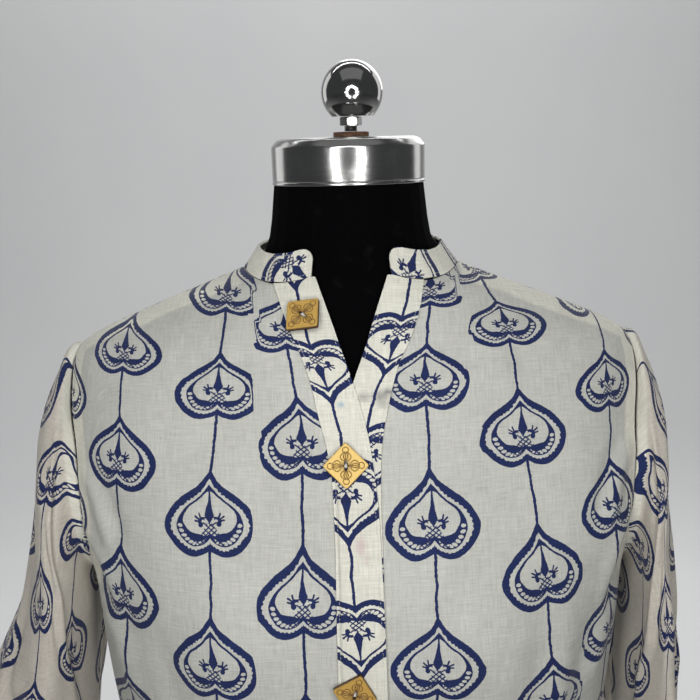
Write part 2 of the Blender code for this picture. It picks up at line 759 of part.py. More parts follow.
def add_form(material):
    """The limbless body: level rings from its flat bottom up to the neck, closed at both ends."""
    bm = bmesh.new()
    rings = []
    for z in FORM_RING_HEIGHTS:
        half = read(FORM, "half_width", z)
        power = 2.0 / read(FORM, "squareness", z)
        ring = []
        for k in range(FORM_POINTS):
            turn = 2.0 * pi * k / FORM_POINTS
            x = half * abs(sin(turn)) ** power * (1 if sin(turn) > 0 else -1)
            face = -1 if cos(turn) > 0 else 1
            point, _ = surface(FORM, x, z, face, FORM_BUST)
            point.x = min(max(point.x, -ARM_PLATE_X), ARM_PLATE_X)
            ring.append(bm.verts.new(point))
        rings.append(ring)
    for low, high in zip(rings, rings[1:]):
        for i in range(FORM_POINTS):
            j = (i + 1) % FORM_POINTS
            bm.faces.new((low[i], low[j], high[j], high[i]))
    bm.faces.new(rings[0])
    bm.faces.new(rings[-1])
    bmesh.ops.recalc_face_normals(bm, faces=bm.faces)
    mesh = bpy.data.meshes.new("form_body")
    bm.to_mesh(mesh)
    bm.free()
    mesh.shade_smooth()
    mesh.set_sharp_from_angle(angle=radians(50))
    triangulate(add_object("form_body", mesh, material))


def add_turned(name, profile, steps, material, x=0.0):
    """A turned solid from the radius and height of its outline, top to bottom."""
    mesh = bpy.data.meshes.new(name)
    verts = [(radius, 0.0, z) for radius, z in profile]
    mesh.from_pydata(verts, [(i, i + 1) for i in range(len(verts) - 1)], [])
    item = add_object(name, mesh, material)
    item.location.x = x
    turn = item.modifiers.new("turn", "SCREW")
    turn.steps = steps
    turn.render_steps = steps
    turn.use_merge_vertices = True
    turn.merge_threshold = 0.00001
    turn.use_smooth_shade = True


def ball_profile():
    """The ball's outline from its top down to the small flat that meets the nut."""
    lowest = (BALL_FLAT_Z - BALL_Z) / BALL_TALL
    stop = pi - asin((1.0 - lowest**2) ** 0.5)
    steps = 14
    outline = []
    for k in range(steps + 1):
        turn = stop * k / steps
        outline.append((BALL_RADIUS * sin(turn), BALL_Z + BALL_TALL * cos(turn)))
    return outline + [(0.0, outline[-1][1])]


def rod_profile(radius, low, high):
    return ((0.0, high), (radius, high), (radius, low), (0.0, low))


def add_neck_fittings(chrome, rust, steel):
    """The cap on the neck, and the washer, stud, nut and ball above it."""
    cap = (
        (0.0, CAP_TOP_Z),
        (CAP_TOP_RADIUS, CAP_TOP_Z),
        (CAP_RADIUS, CAP_EDGE_Z),
        (CAP_RADIUS, CAP_LOW_Z),
        (0.0, CAP_LOW_Z),
    )
    add_turned("neck_cap", cap, 40, chrome)
    washer = rod_profile(WASHER_RADIUS, WASHER_LOW_Z, WASHER_TOP_Z)
    add_turned("finial_washer", washer, 24, rust, FINIAL_X)
    stud = rod_profile(STUD_RADIUS, STUD_LOW_Z, STUD_TOP_Z)
    add_turned("finial_stud", stud, 16, steel, FINIAL_X)
    bm = bmesh.new()
    corner = NUT_ACROSS / 2.0 / cos(radians(30))
    bmesh.ops.create_cone(
        bm, segments=6, radius1=corner, radius2=corner, depth=NUT_TOP_Z - NUT_LOW_Z, cap_ends=True
    )
    mesh = bpy.data.meshes.new("finial_nut")
    bm.to_mesh(mesh)
    bm.free()
    nut = add_object("finial_nut", mesh, steel)
    nut.location = (FINIAL_X, 0.0, (NUT_LOW_Z + NUT_TOP_Z) / 2.0)
    nut.rotation_euler = (0.0, 0.0, radians(10))
    add_turned("finial_ball", ball_profile(), 28, chrome, BALL_X)


def add_stand(chrome, paint):
    add_turned("stand_pole", rod_profile(POLE_RADIUS, POLE_LOW_Z, POLE_TOP_Z), 20, chrome)
    add_turned("stand_base", BASE_PROFILE, 40, paint)


def build():
    cotton = make_material("printed_cotton", (0.60, 0.59, 0.55), 0.9)
    wood = make_material("button_wood", (0.52, 0.30, 0.08), 0.5)
    jersey = make_material("form_jersey", (0.006, 0.006, 0.008), 0.9)
    chrome = make_material("chrome", (0.65, 0.66, 0.66), 0.12, 1.0)
    steel = make_material("plain_steel", (0.45, 0.45, 0.44), 0.3, 1.0)
    rust = make_material("rusty_washer", (0.20, 0.09, 0.04), 0.7, 0.4)
    paint = make_material("stand_paint", (0.02, 0.02, 0.02), 0.4)
    quarters = add_panels(cotton)
    add_sleeves(quarters, cotton)
    add_bands(cotton)
    add_collar(cotton)
    for button in BUTTONS:
        add_button(button, wood)
    add_form(jersey)
    add_neck_fittings(chrome, rust, steel)
    add_stand(chrome, paint)


for old in list(bpy.data.objects):
    bpy.data.objects.remove(old, do_unlink=True)
parts = new_collection("kurta_on_dress_form")
cutters = new_collection("cutters")
build()
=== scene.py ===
"""Looks of the kurta tunic on its limbless dress form.

Metres, +Z up, front towards -Y. Each cloth piece is a thin shell on the smooth surface that its
CAD solid was cut from, with creases, hems, seams and stitches placed one by one. The block print is
drawn by shader nodes on each piece's flat cut.
"""

from collections import namedtuple
from math import cos, pi, radians, sin

import bmesh
import bpy
import numpy as np
from mathutils import Matrix, Vector


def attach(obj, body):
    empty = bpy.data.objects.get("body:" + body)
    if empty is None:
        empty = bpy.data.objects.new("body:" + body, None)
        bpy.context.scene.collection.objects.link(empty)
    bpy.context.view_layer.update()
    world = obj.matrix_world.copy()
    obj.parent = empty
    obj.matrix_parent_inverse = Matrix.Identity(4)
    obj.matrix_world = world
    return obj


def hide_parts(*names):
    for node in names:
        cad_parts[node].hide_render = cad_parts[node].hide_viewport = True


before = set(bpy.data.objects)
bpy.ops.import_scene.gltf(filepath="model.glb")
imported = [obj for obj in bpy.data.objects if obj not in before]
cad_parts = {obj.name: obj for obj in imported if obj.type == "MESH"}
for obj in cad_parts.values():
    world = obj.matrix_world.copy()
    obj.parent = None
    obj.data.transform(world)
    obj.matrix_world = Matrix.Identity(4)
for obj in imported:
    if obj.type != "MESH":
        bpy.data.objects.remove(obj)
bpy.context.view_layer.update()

# Camera
CAMERA_PLACE = (-0.0022, -0.72, 1.470)
CAMERA_DOWN_DEGREES = 11.56
CAMERA_ROLL_DEGREES = -1.5
CAMERA_LENS = 51.53

# Driving sizes of the garment
SHOULDER_NECK_Z = 1.387
SHOULDER_NECK_X = 0.076
SHOULDER_TIP_X = 0.197
KURTA_LENGTH = 1.000
UNDERARM_Z = 1.165
SLIT_TOP_Z = 0.780
SLIT_DEGREES = 5.0
PLACKET_END_Z = 1.062
HEM_Z = SHOULDER_NECK_Z - KURTA_LENGTH
SEAM = 0.0005
LAYER = 0.0018
GAP = 0.0003

# Thickness of the cloth
SINGLE = 0.0007
BAND_CLOTH = 0.0012
COLLAR_CLOTH = 0.0018
HEM_DEPTH = 0.022
CUFF_DEPTH = 0.020
SLIT_HEM = 0.010

# Sections of the kurta's outer surface
Section = namedtuple("Section", "z half_width front back squareness")
KURTA = (
    Section(HEM_Z, 0.2150, 0.1350, 0.1300, 2.20),
    Section(0.560, 0.2070, 0.1330, 0.1280, 2.20),
    Section(0.760, 0.1980, 0.1300, 0.1250, 2.30),
    Section(0.880, 0.1900, 0.1220, 0.1180, 2.30),
    Section(0.985, 0.1780, 0.1120, 0.1020, 2.30),
    Section(1.070, 0.1860, 0.1210, 0.1040, 2.40),
    Section(1.135, 0.1915, 0.1280, 0.1080, 2.50),
    Section(UNDERARM_Z, 0.1940, 0.1270, 0.1100, 2.50),
    Section(1.205, 0.2040, 0.1210, 0.1120, 2.50),
    Section(1.265, 0.2130, 0.1060, 0.1080, 2.35),
    Section(1.295, 0.2125, 0.0975, 0.1050, 2.20),
    Section(1.320, 0.2070, 0.0905, 0.1000, 2.05),
    Section(1.335, 0.1965, 0.0855, 0.0970, 1.90),
    Section(1.345, 0.1800, 0.0830, 0.0920, 1.85),
    Section(1.362, 0.1395, 0.0760, 0.0850, 1.80),
    Section(SHOULDER_NECK_Z, SHOULDER_NECK_X, 0.0680, 0.0660, 1.80),
)

# Sections of the form inside it
FORM = (
    Section(0.7150, 0.1700, 0.1050, 0.1120, 2.30),
    Section(0.7900, 0.1760, 0.1080, 0.1180, 2.30),
    Section(0.8800, 0.1620, 0.1000, 0.1020, 2.30),
    Section(0.9850, 0.1340, 0.0920, 0.0860, 2.30),
    Section(1.0700, 0.1450, 0.1020, 0.0910, 2.40),
    Section(1.1350, 0.1600, 0.1170, 0.0980, 2.50),
    Section(1.1650, 0.1660, 0.1170, 0.1010, 2.50),
    Section(1.2050, 0.1780, 0.1120, 0.1040, 2.50),
    Section(1.2650, 0.1920, 0.0990, 0.1010, 2.35),
    Section(1.2950, 0.1970, 0.0915, 0.0980, 2.20),
    Section(1.3180, 0.2000, 0.0850, 0.0940, 2.05),
    Section(1.3330, 0.1965, 0.0815, 0.0920, 1.90),
    Section(1.3430, 0.1800, 0.0790, 0.0880, 1.85),
    Section(1.3600, 0.1395, 0.0720, 0.0800, 1.80),
    Section(1.3850, 0.0755, 0.0640, 0.0620, 1.80),
)
BUST_X, BUST_Z = 0.088, 1.135
BUST_WIDTH, BUST_TALL = 0.035, 0.055
KURTA_BUST, FORM_BUST = 0.006, 0.011

Armhole = namedtuple("Armhole", "z x")
ARMHOLE = (
    Armhole(UNDERARM_Z, 0.1940),
    Armhole(1.190, 0.1925),
    Armhole(1.225, 0.1920),
    Armhole(1.265, 0.1940),
    Armhole(1.300, 0.1980),
    Armhole(1.320, 0.1985),
    Armhole(1.335, SHOULDER_TIP_X),
)

Neckline = namedtuple("Neckline", "x z")
NECKLINE = (
    Neckline(0.026, 1.3855),
    Neckline(0.036, 1.3825),
    Neckline(0.050, 1.3805),
    Neckline(0.064, 1.3825),
    Neckline(SHOULDER_NECK_X, SHOULDER_NECK_Z),
)

# Front opening: where each band is sewn and where its free edge lies, both measured from the
# centre towards that band's own side. The top band is on the viewer's left
Band = namedtuple("Band", "z edge free")
BAND_TOP = (
    Band(1.050, 0.0118, -0.0170),
    Band(1.135, 0.0114, -0.0161),
    Band(1.172, 0.0112, -0.0154),
    Band(1.2106, 0.0108, -0.0144),
    Band(1.2384, 0.0112, -0.0134),
    Band(1.2593, 0.0120, -0.0114),
    Band(1.2791, 0.0153, -0.0088),
    Band(1.2945, 0.0192, -0.0054),
    Band(1.3182, 0.0246, 0.0017),
    Band(1.3429, 0.0332, 0.0101),
    Band(1.3522, 0.0372, 0.0134),
    Band(1.382, 0.0480, 0.0240),
)
BAND_UNDER = (
    Band(1.050, 0.0160, -0.0105),
    Band(1.172, 0.0158, -0.0105),
    Band(1.2384, 0.0152, -0.0104),
    Band(1.2653, 0.0157, -0.0098),
    Band(1.2770, 0.0167, -0.0085),
    Band(1.2972, 0.0205, -0.0056),
    Band(1.3138, 0.0249, -0.0014),
    Band(1.3308, 0.0306, 0.0052),
    Band(1.3402, 0.0352, 0.0088),
    Band(1.3578, 0.0425, 0.0150),
    Band(1.382, 0.0480, 0.0240),
)
BAND_MARGIN = 0.004

# Hanging folds of the skirt: angle round, half width in degrees, height at the hem, start
Fold = namedtuple("Fold", "degrees width height start_z")
FOLDS = (
    Fold(14, 9, 0.006, 0.95),
    Fold(40, 10, 0.011, 1.02),
    Fold(66, 9, 0.008, 0.93),
    Fold(100, 10, 0.009, 0.95),
    Fold(128, 11, 0.012, 1.05),
    Fold(158, 9, 0.007, 0.98),
    Fold(187, 10, 0.010, 1.05),
    Fold(214, 9, 0.008, 0.97),
    Fold(243, 11, 0.011, 1.02),
    Fold(268, 8, 0.008, 0.92),
    Fold(298, 10, 0.010, 1.00),
    Fold(325, 9, 0.007, 0.94),
    Fold(347, 8, 0.009, 1.00),
)

# Rings of a sleeve, from the armhole down
Ring = namedtuple("Ring", "outer_x outer_z inner_x inner_z half_depth")
SLEEVE_RIGHT = (
    Ring(0.2032, 1.3330, 0.1970, 1.163, 0.060),
    Ring(0.2113, 1.3190, 0.1985, 1.155, 0.066),
    Ring(0.2176, 1.3030, 0.1985, 1.140, 0.071),
    Ring(0.2195, 1.2890, 0.1980, 1.120, 0.074),
    Ring(0.2212, 1.2595, 0.1970, 1.095, 0.075),
    Ring(0.2248, 1.2250, 0.1965, 1.070, 0.075),
    Ring(0.2291, 1.1800, 0.1970, 1.050, 0.075),
    Ring(0.2327, 1.1340, 0.1975, 1.035, 0.074),
    Ring(0.2404, 1.0400, 0.1980, 1.000, 0.072),
    Ring(0.2455, 0.9800, 0.2000, 0.960, 0.070),
    Ring(0.2488, 0.9400, 0.2020, 0.925, 0.068),
    Ring(0.2517, 0.9000, 0.2040, 0.895, 0.066),
)
SLEEVE_LEFT = (
    Ring(0.2041, 1.3330, 0.1970, 1.163, 0.060),
    Ring(0.2120, 1.3190, 0.1985, 1.155, 0.066),
    Ring(0.2180, 1.3070, 0.1985, 1.143, 0.070),
    Ring(0.2262, 1.2830, 0.1988, 1.128, 0.074),
    Ring(0.2290, 1.2580, 0.2000, 1.112, 0.074),
    Ring(0.2326, 1.2220, 0.2025, 1.090, 0.074),
    Ring(0.2418, 1.1800, 0.2045, 1.072, 0.073),
    Ring(0.2557, 1.1400, 0.2065, 1.056, 0.071),
    Ring(0.2840, 1.0760, 0.2096, 1.040, 0.067),
    Ring(0.3010, 1.0150, 0.2165, 0.990, 0.062),
    Ring(0.3120, 0.9500, 0.2240, 0.940, 0.058),
    Ring(0.3180, 0.9000, 0.2300, 0.895, 0.055),
)

# Lengthwise folds of a sleeve
SleeveFold = namedtuple("SleeveFold", "degrees width height ring")
FOLDS_RIGHT = (
    SleeveFold(58, 17, -0.006, 4),
    SleeveFold(92, 16, 0.007, 3),
    SleeveFold(245, 20, 0.006, 5),
    SleeveFold(300, 20, -0.005, 4),
)
FOLDS_LEFT = (
    SleeveFold(66, 16, -0.007, 6),
    SleeveFold(108, 17, 0.006, 4),
    SleeveFold(238, 20, 0.006, 6),
    SleeveFold(290, 18, -0.005, 5),
)

# Collar
COLLAR_RISE_FRONT, COLLAR_RISE_SIDE = 0.0200, 0.0140
COLLAR_LEAN_FRONT, COLLAR_LEAN_SIDE = 0.0055, 0.0105
COLLAR_SEAT = 0.0009
COLLAR_END_X = 0.026
COLLAR_END_ROUND = 0.011

# Buttons
BUTTON_SIDE, BUTTON_THICK = 0.0212, 0.0033
BUTTON_CORNER = 0.0014
BUTTON_SEAT = 0.0005
SLOT_WIDTH, SLOT_LENGTH, SLOT_DEGREES = 0.0021, 0.0066, -45
Button = namedtuple("Button", "name x z turn back aside tone")
BUTTONS = (
    Button("button_top", -0.0303, 1.3583, -84.5, 15, 8, 0.35),
    Button("button_middle", -0.0067, 1.2688, 45, 0, 0, 1.0),
    Button("button_low", -0.0048, 1.1243, 28.6, 0, 0, 0.25),
)

# Cap and finial on the neck, and the stand
CAP_LOW_Z, CAP_EDGE_Z, CAP_TOP_Z = 1.4436, 1.4695, 1.4752
CAP_RADIUS, CAP_TOP_RADIUS = 0.0540, 0.0470
FINIAL_X = 0.0025
WASHER_RADIUS, WASHER_LOW_Z, WASHER_TOP_Z = 0.0125, 1.4755, 1.4792
STUD_RADIUS, STUD_LOW_Z, STUD_TOP_Z = 0.0048, 1.4795, 1.4830
NUT_ACROSS, NUT_LOW_Z, NUT_TOP_Z = 0.0138, 1.4833, 1.4893
BALL_RADIUS, BALL_TALL, BALL_FLAT_Z, BALL_Z = 0.0215, 0.0222, 1.4896, 1.5060
BALL_X = 0.0038
POLE_RADIUS, POLE_LOW_Z, POLE_TOP_Z = 0.0125, 0.0423, 0.7147

# Block print: distance between columns and between repeats, and where each column runs.
# repeat is a whole number at the middle of a motif, and a half more in every second column
PRINT_ACROSS, PRINT_UP = 0.067, 0.095
PRINT_DROP = 0.0065  # how far below its table place a body motif lies
PRINT_TRUE = 0.0328  # lengths are true this far either side of a column
PrintRow = namedtuple("PrintRow", "z x repeat")
FRONT_PRINT = (
    (PrintRow(1.1791, -0.1600, 0.5), PrintRow(1.2710, -0.1591, 1.5), PrintRow(1.3384, -0.1562, 2.5)),
    (
        PrintRow(1.1420, -0.0964, 0),
        PrintRow(1.2362, -0.0955, 1),
        PrintRow(1.3168, -0.0890, 2),
        PrintRow(1.3750, -0.0846, 3),
    ),
    (PrintRow(1.1858, -0.0364, 0.5), PrintRow(1.2848, -0.0346, 1.5), PrintRow(1.3557, -0.0443, 2.5)),
    (
        PrintRow(1.1401, 0.0492, 0),
        PrintRow(1.2334, 0.0481, 1),
        PrintRow(1.3216, 0.0459, 2),
        PrintRow(1.3773, 0.0522, 3),
    ),
    (
        PrintRow(1.0100, 0.1330, -1.5),
        PrintRow(1.1021, 0.1290, -0.5),
        PrintRow(1.1936, 0.1213, 0.5),
        PrintRow(1.2848, 0.1094, 1.5),
        PrintRow(1.3514, 0.1019, 2.5),
        PrintRow(1.3845, 0.0886, 3.5),
    ),
    (PrintRow(1.1380, 0.1745, 0), PrintRow(1.2302, 0.1730, 1), PrintRow(1.3087, 0.1729, 2)),
)
BACK_PRINT_X = (-0.150, -0.093, -0.031, 0.031, 0.093, 0.150)
BACK_PRINT_Z = (1.142, 1.236, 1.322, 1.377)
# The bands' cloth was cut with the print upside down
TOP_BAND_PRINT = (
    PrintRow(1.0480, -0.0010, -1.379),
    PrintRow(1.1357, -0.0013, -0.379),
    PrintRow(1.2215, -0.0054, 0.621),
    PrintRow(1.2809, -0.0093, 1.300),
    PrintRow(1.3086, -0.0152, 1.621),
    PrintRow(1.3430, -0.0275, 2.152),
    PrintRow(1.3500, -0.0299, 2.250),
    PrintRow(1.3840, -0.0370, 2.700),
)
UNDER_BAND_PRINT = (
    PrintRow(1.0480, 0.0020, -1.500),
    PrintRow(1.2483, 0.0050, 0.621),
    PrintRow(1.2903, 0.0075, 1.152),
    PrintRow(1.3100, 0.0121, 1.400),
    PrintRow(1.3253, 0.0195, 1.621),
    PrintRow(1.3585, 0.0325, 2.152),
    PrintRow(1.3689, 0.0355, 2.300),
    PrintRow(1.3840, 0.0390, 2.520),
)
# Shift of the print on each sleeve: round it, and up from the cuff
SLEEVE_PRINT = {"left": (0.036, 0.014), "right": (0.018, 0.044)}

# Fineness of the shells
PANEL_ROWS_LOW = 160
PANEL_ROWS_HIGH = 64
PANEL_COLUMNS = 66
SLEEVE_ROWS = 110
SLEEVE_CAP_ROWS = 30  # rows above the underarm
COLLAR_STATIONS = 220
COLLAR_ROWS = 12


def smooth(t):
    t = np.clip(t, 0.0, 1.0)
    return t * t * (3.0 - 2.0 * t)


def mix(a, b, t):
    return a + (b - a) * t


def curve(xs, ys, at):
    """A smooth curve through knots that never overshoots them. ys may hold arrays."""
    xs = np.asarray(xs, float)
    ys = np.asarray(ys, float)
    at = np.clip(np.asarray(at, float), xs[0], xs[-1])
    k = np.clip(np.searchsorted(xs, at, side="left") - 1, 0, len(xs) - 2)
    steps = np.diff(xs).reshape((-1,) + (1,) * (ys.ndim - 1))
    slopes = np.diff(ys, axis=0) / steps
    tangents = np.zeros_like(ys)
    tangents[0] = slopes[0]
    tangents[-1] = slopes[-1]
    before, after = slopes[:-1], slopes[1:]
    both = before * after > 0.0
    total = np.where(both, before + after, 1.0)
    tangents[1:-1] = np.where(both, 2.0 * before * after / total, 0.0)
    extra = (1,) * (ys.ndim - 1)
    h = (xs[k + 1] - xs[k]).reshape(at.shape + extra)
    t = (at - xs[k]).reshape(at.shape + extra) / h
    start = ys[k] * (1 + 2 * t) + tangents[k] * h * t
    stop = ys[k + 1] * (3 - 2 * t) + tangents[k + 1] * h * (t - 1)
    return start * (1 - t) ** 2 + stop * t * t


def read(rows, column, at, key="z"):
    """A column of a table at a height."""
    xs = [getattr(row, key) for row in rows]
    ys = [getattr(row, column) for row in rows]
    return curve(xs, ys, at)


def unit(vectors):
    lengths = np.linalg.norm(vectors, axis=-1, keepdims=True)
    return vectors / np.maximum(lengths, 1e-9)


def surface(rows, x, z, face, bust):
    """Points of a body surface and their angles round. face is -1 at the front, 1 at the back."""
    x, z = np.broadcast_arrays(np.asarray(x, float), np.asarray(z, float))
    half = read(rows, "half_width", z)
    depth = read(rows, "front" if face < 0 else "back", z)
    n = read(rows, "squareness", z)
    share = np.minimum(np.abs(x) / half, 1.0)
    reach = depth * (1.0 - share**n) ** (1.0 / n)
    if face < 0:
        mound = ((np.abs(x) - BUST_X) / BUST_WIDTH) ** 2 + ((z - BUST_Z) / BUST_TALL) ** 2
        reach = reach + bust * np.exp(-mound) * np.minimum(1.0, 4.0 * (1.0 - share))
    angle = np.arcsin(share ** (n / 2.0))
    ring = angle if face < 0 else pi - angle
    return np.stack((x, face * reach, z), axis=-1), np.where(x >= 0, ring, 2.0 * pi - ring)


def skirt_push(ring, z):
    """How far the hanging folds stand out at an angle round and a height."""
    push = np.zeros_like(z)
    for fold in FOLDS:
        away = (np.degrees(ring) - fold.degrees + 180.0) % 360.0 - 180.0
        rise = smooth((fold.start_z - z) / (fold.start_z - HEM_Z))
        push += fold.height * np.exp(-((away / fold.width) ** 2)) * rise
    return push


def base_point(x, z, face):
    """A point of the kurta's outer surface before its creases."""
    points, ring = surface(KURTA, x, z, face, KURTA_BUST)
    push = skirt_push(ring, points[..., 2])
    out = np.stack((np.sin(ring), -np.cos(ring), np.zeros_like(ring)), axis=-1)
    return points + out * push[..., None]


def base_normal(x, z, face):
    step = 0.0015
    across = base_point(x + step, z, face) - base_point(x - step, z, face)
    up = base_point(x, z + step, face) - base_point(x, z - step, face)
    return unit(np.cross(across, up) * -face)


# Creases of the body by x and z: face, half width, height, side of the valley, and its line
Crease = namedtuple("Crease", "face width push valley points")
BODY_CREASES = (
    # Front, by the viewer's left armhole
    Crease(-1, 0.0055, 0.0030, 1, ((-0.191, 1.262), (-0.176, 1.238), (-0.165, 1.198))),
    Crease(-1, 0.0060, 0.0032, -1, ((-0.192, 1.222), (-0.176, 1.195), (-0.160, 1.150))),
    Crease(-1, 0.0080, 0.0028, 1, ((-0.186, 1.176), (-0.166, 1.140), (-0.152, 1.080))),
    Crease(-1, 0.0100, 0.0026, 1, ((-0.158, 1.175), (-0.146, 1.120), (-0.128, 1.040), (-0.120, 0.960))),
    # Front, by the viewer's right armhole
    Crease(-1, 0.0055, 0.0030, -1, ((0.190, 1.272), (0.178, 1.246), (0.166, 1.205))),
    Crease(-1, 0.0060, 0.0036, 1, ((0.191, 1.232), (0.176, 1.200), (0.160, 1.140))),
    Crease(-1, 0.0075, 0.0026, -1, ((0.188, 1.180), (0.170, 1.140), (0.158, 1.085))),
    Crease(-1, 0.0100, 0.0030, -1, ((0.140, 1.200), (0.134, 1.120), (0.126, 1.030), (0.132, 0.930))),
    # Front, soft lines down from the bust and beside the bands
    Crease(-1, 0.0120, 0.0022, 1, ((-0.080, 1.110), (-0.078, 1.020), (-0.086, 0.900), (-0.092, 0.780))),
    Crease(-1, 0.0120, 0.0020, -1, ((0.078, 1.115), (0.074, 1.020), (0.084, 0.900), (0.088, 0.790))),
    Crease(-1, 0.0090, 0.0014, 1, ((-0.040, 1.300), (-0.048, 1.240), (-0.050, 1.170))),
    Crease(-1, 0.0090, 0.0012, -1, ((0.050, 1.290), (0.054, 1.220), (0.052, 1.160))),
    Crease(-1, 0.0080, 0.0013, 1, ((-0.070, 1.362), (-0.090, 1.330), (-0.108, 1.286))),
    Crease(-1, 0.0080, 0.0012, -1, ((0.074, 1.360), (0.096, 1.326), (0.112, 1.280))),
    # Front of the skirt
    Crease(-1, 0.0100, 0.0030, 1, ((-0.060, 0.960), (-0.050, 0.820), (-0.056, 0.600), (-0.050, 0.440))),
    Crease(-1, 0.0100, 0.0026, -1, ((0.052, 0.980), (0.060, 0.840), (0.052, 0.640), (0.058, 0.430))),
    Crease(-1, 0.0080, 0.0028, 1, ((-0.130, 0.900), (-0.142, 0.760), (-0.140, 0.580), (-0.150, 0.430))),
    Crease(-1, 0.0080, 0.0030, -1, ((0.128, 0.920), (0.136, 0.780), (0.142, 0.600), (0.146, 0.440))),
    Crease(-1, 0.0060, 0.0020, 1, ((-0.020, 0.720), (-0.026, 0.600), (-0.018, 0.470))),
    Crease(-1, 0.0060, 0.0020, -1, ((0.022, 0.760), (0.026, 0.620), (0.022, 0.500))),
    Crease(-1, 0.0070, 0.0020, 1, ((-0.168, 0.990), (-0.140, 0.968), (-0.104, 0.974))),
    Crease(-1, 0.0070, 0.0018, -1, ((0.166, 1.000), (0.140, 0.980), (0.112, 0.984))),
    # Back, across the shoulders and down from the blades
    Crease(1, 0.0100, 0.0016, 1, ((-0.060, 1.340), (0.000, 1.326), (0.066, 1.342))),
    Crease(1, 0.0070, 0.0030, -1, ((-0.189, 1.262), (-0.172, 1.232), (-0.158, 1.180))),
    Crease(1, 0.0080, 0.0032, 1, ((-0.190, 1.205), (-0.168, 1.170), (-0.150, 1.090))),
    Crease(1, 0.0070, 0.0030, 1, ((0.190, 1.268), (0.174, 1.236), (0.162, 1.186))),
    Crease(1, 0.0080, 0.0030, -1, ((0.191, 1.212), (0.170, 1.176), (0.148, 1.100))),
    Crease(1, 0.0130, 0.0030, 1, ((-0.092, 1.190), (-0.088, 1.060), (-0.078, 0.930), (-0.086, 0.780))),
    Crease(1, 0.0130, 0.0028, -1, ((0.096, 1.200), (0.086, 1.070), (0.082, 0.920), (0.090, 0.770))),
    Crease(1, 0.0100, 0.0026, 1, ((-0.010, 1.080), (-0.004, 0.960), (-0.014, 0.820), (-0.008, 0.640))),
    Crease(1, 0.0080, 0.0018, -1, ((-0.120, 1.010), (-0.060, 0.986), (0.004, 0.996))),
    Crease(1, 0.0080, 0.0018, 1, ((0.020, 1.020), (0.070, 1.000), (0.126, 1.014))),
    Crease(1, 0.0070, 0.0016, -1, ((-0.110, 0.966), (-0.050, 0.948), (0.010, 0.958))),
    Crease(1, 0.0080, 0.0030, 1, ((-0.136, 0.900), (-0.146, 0.740), (-0.138, 0.560), (-0.146, 0.430))),
    Crease(1, 0.0080, 0.0030, -1, ((0.132, 0.880), (0.140, 0.720), (0.136, 0.560), (0.142, 0.420))),
    Crease(1, 0.0070, 0.0024, -1, ((-0.050, 0.700), (-0.046, 0.560), (-0.052, 0.430))),
    Crease(1, 0.0070, 0.0024, 1, ((0.046, 0.690), (0.052, 0.560), (0.046, 0.440))),
)

# Slow unevenness: direction across and up in waves a metre, start, height
RIPPLES = (
    (7.3, 4.1, 0.6, 0.00050),
    (-5.2, 9.7, 2.1, 0.00042),
    (13.1, -6.4, 4.0, 0.00030),
    (11.3, 15.8, 1.1, 0.00022),
    (-19.4, 8.2, 5.2, 0.00018),
    (24.6, 19.1, 2.7, 0.00012),
    (-31.0, 22.5, 0.2, 0.00009),
)


def along_line(x, z, points):
    """Distance of places from a bent line, on which side, and how far along it they lie."""
    points = np.asarray(points, float)
    pieces = np.diff(points, axis=0)
    lengths = np.linalg.norm(pieces, axis=1)
    total = lengths.sum()
    best = np.full(np.shape(x), 9.0)
    side = np.ones(np.shape(x))
    place = np.zeros(np.shape(x))
    run = 0.0
    for start, piece, length in zip(points, pieces, lengths):
        dx, dz = x - start[0], z - start[1]
        t = np.clip((dx * piece[0] + dz * piece[1]) / length**2, 0.0, 1.0)
        away = np.hypot(dx - t * piece[0], dz - t * piece[1])
        nearer = away < best
        best = np.where(nearer, away, best)
        side = np.where(nearer, np.sign(piece[0] * dz - piece[1] * dx), side)
        place = np.where(nearer, (run + t * length) / total, place)
        run += length
    return best, side, place


def crease_push(x, z, creases):
    """Ridges with a valley on one side, fading out at both ends."""
    push = np.zeros(np.shape(x))
    for crease in creases:
        away, side, place = along_line(x, z, crease.points)
        ends = smooth(place / 0.3) * smooth((1.0 - place) / 0.3)
        across = away * side * crease.valley / crease.width
        push += crease.push * ends * np.exp(-(across**2))
        push -= crease.push * 0.7 * ends * np.exp(-(((across - 1.7) / 1.1) ** 2))
    return push


def ripple_push(x, z):
    push = np.zeros(np.shape(x))
    for across, up, start, height in RIPPLES:
        push += height * np.sin(2.0 * pi * (across * x + up * z) + start)
    return push


def body_push(x, z, face):
    """All that moves the cloth off its smooth surface, kept clear of the form."""
    creases = [crease for crease in BODY_CREASES if crease.face == face]
    push = crease_push(x, z, creases) + ripple_push(x + 0.37 * (face > 0), z)
    near_neck = smooth((SHOULDER_NECK_Z - 0.004 - z) / 0.030)
    band = np.where(x > 0.0, band_edge(z, 1), band_edge(z, -1) + BAND_MARGIN)
    band_calm = smooth((np.abs(x) - band) / 0.020) if face < 0 else 1.0
    push = push * near_neck * mix(0.08, 1.0, band_calm)
    edge = np.abs(x) / read(KURTA, "half_width", z)
    push = push * smooth((1.0 - edge) / 0.06)
    cloth, _ = surface(KURTA, x, z, face, KURTA_BUST)
    form, _ = surface(FORM, x, z, face, FORM_BUST)
    room = np.abs(cloth[..., 1]) - np.abs(form[..., 1])
    room = np.where(z < 0.715, 0.02, room)
    normal = np.abs(base_normal(x, z, face)[..., 1])
    floor = -np.maximum(room * normal - 0.0019, 0.0)
    return np.maximum(push, floor)


def kurta_point(x, z, face, lift=0.0):
    """A point of the finished cloth, or lift outside it."""
    push = body_push(x, z, face) + lift
    return base_point(x, z, face) + base_normal(x, z, face) * push[..., None]


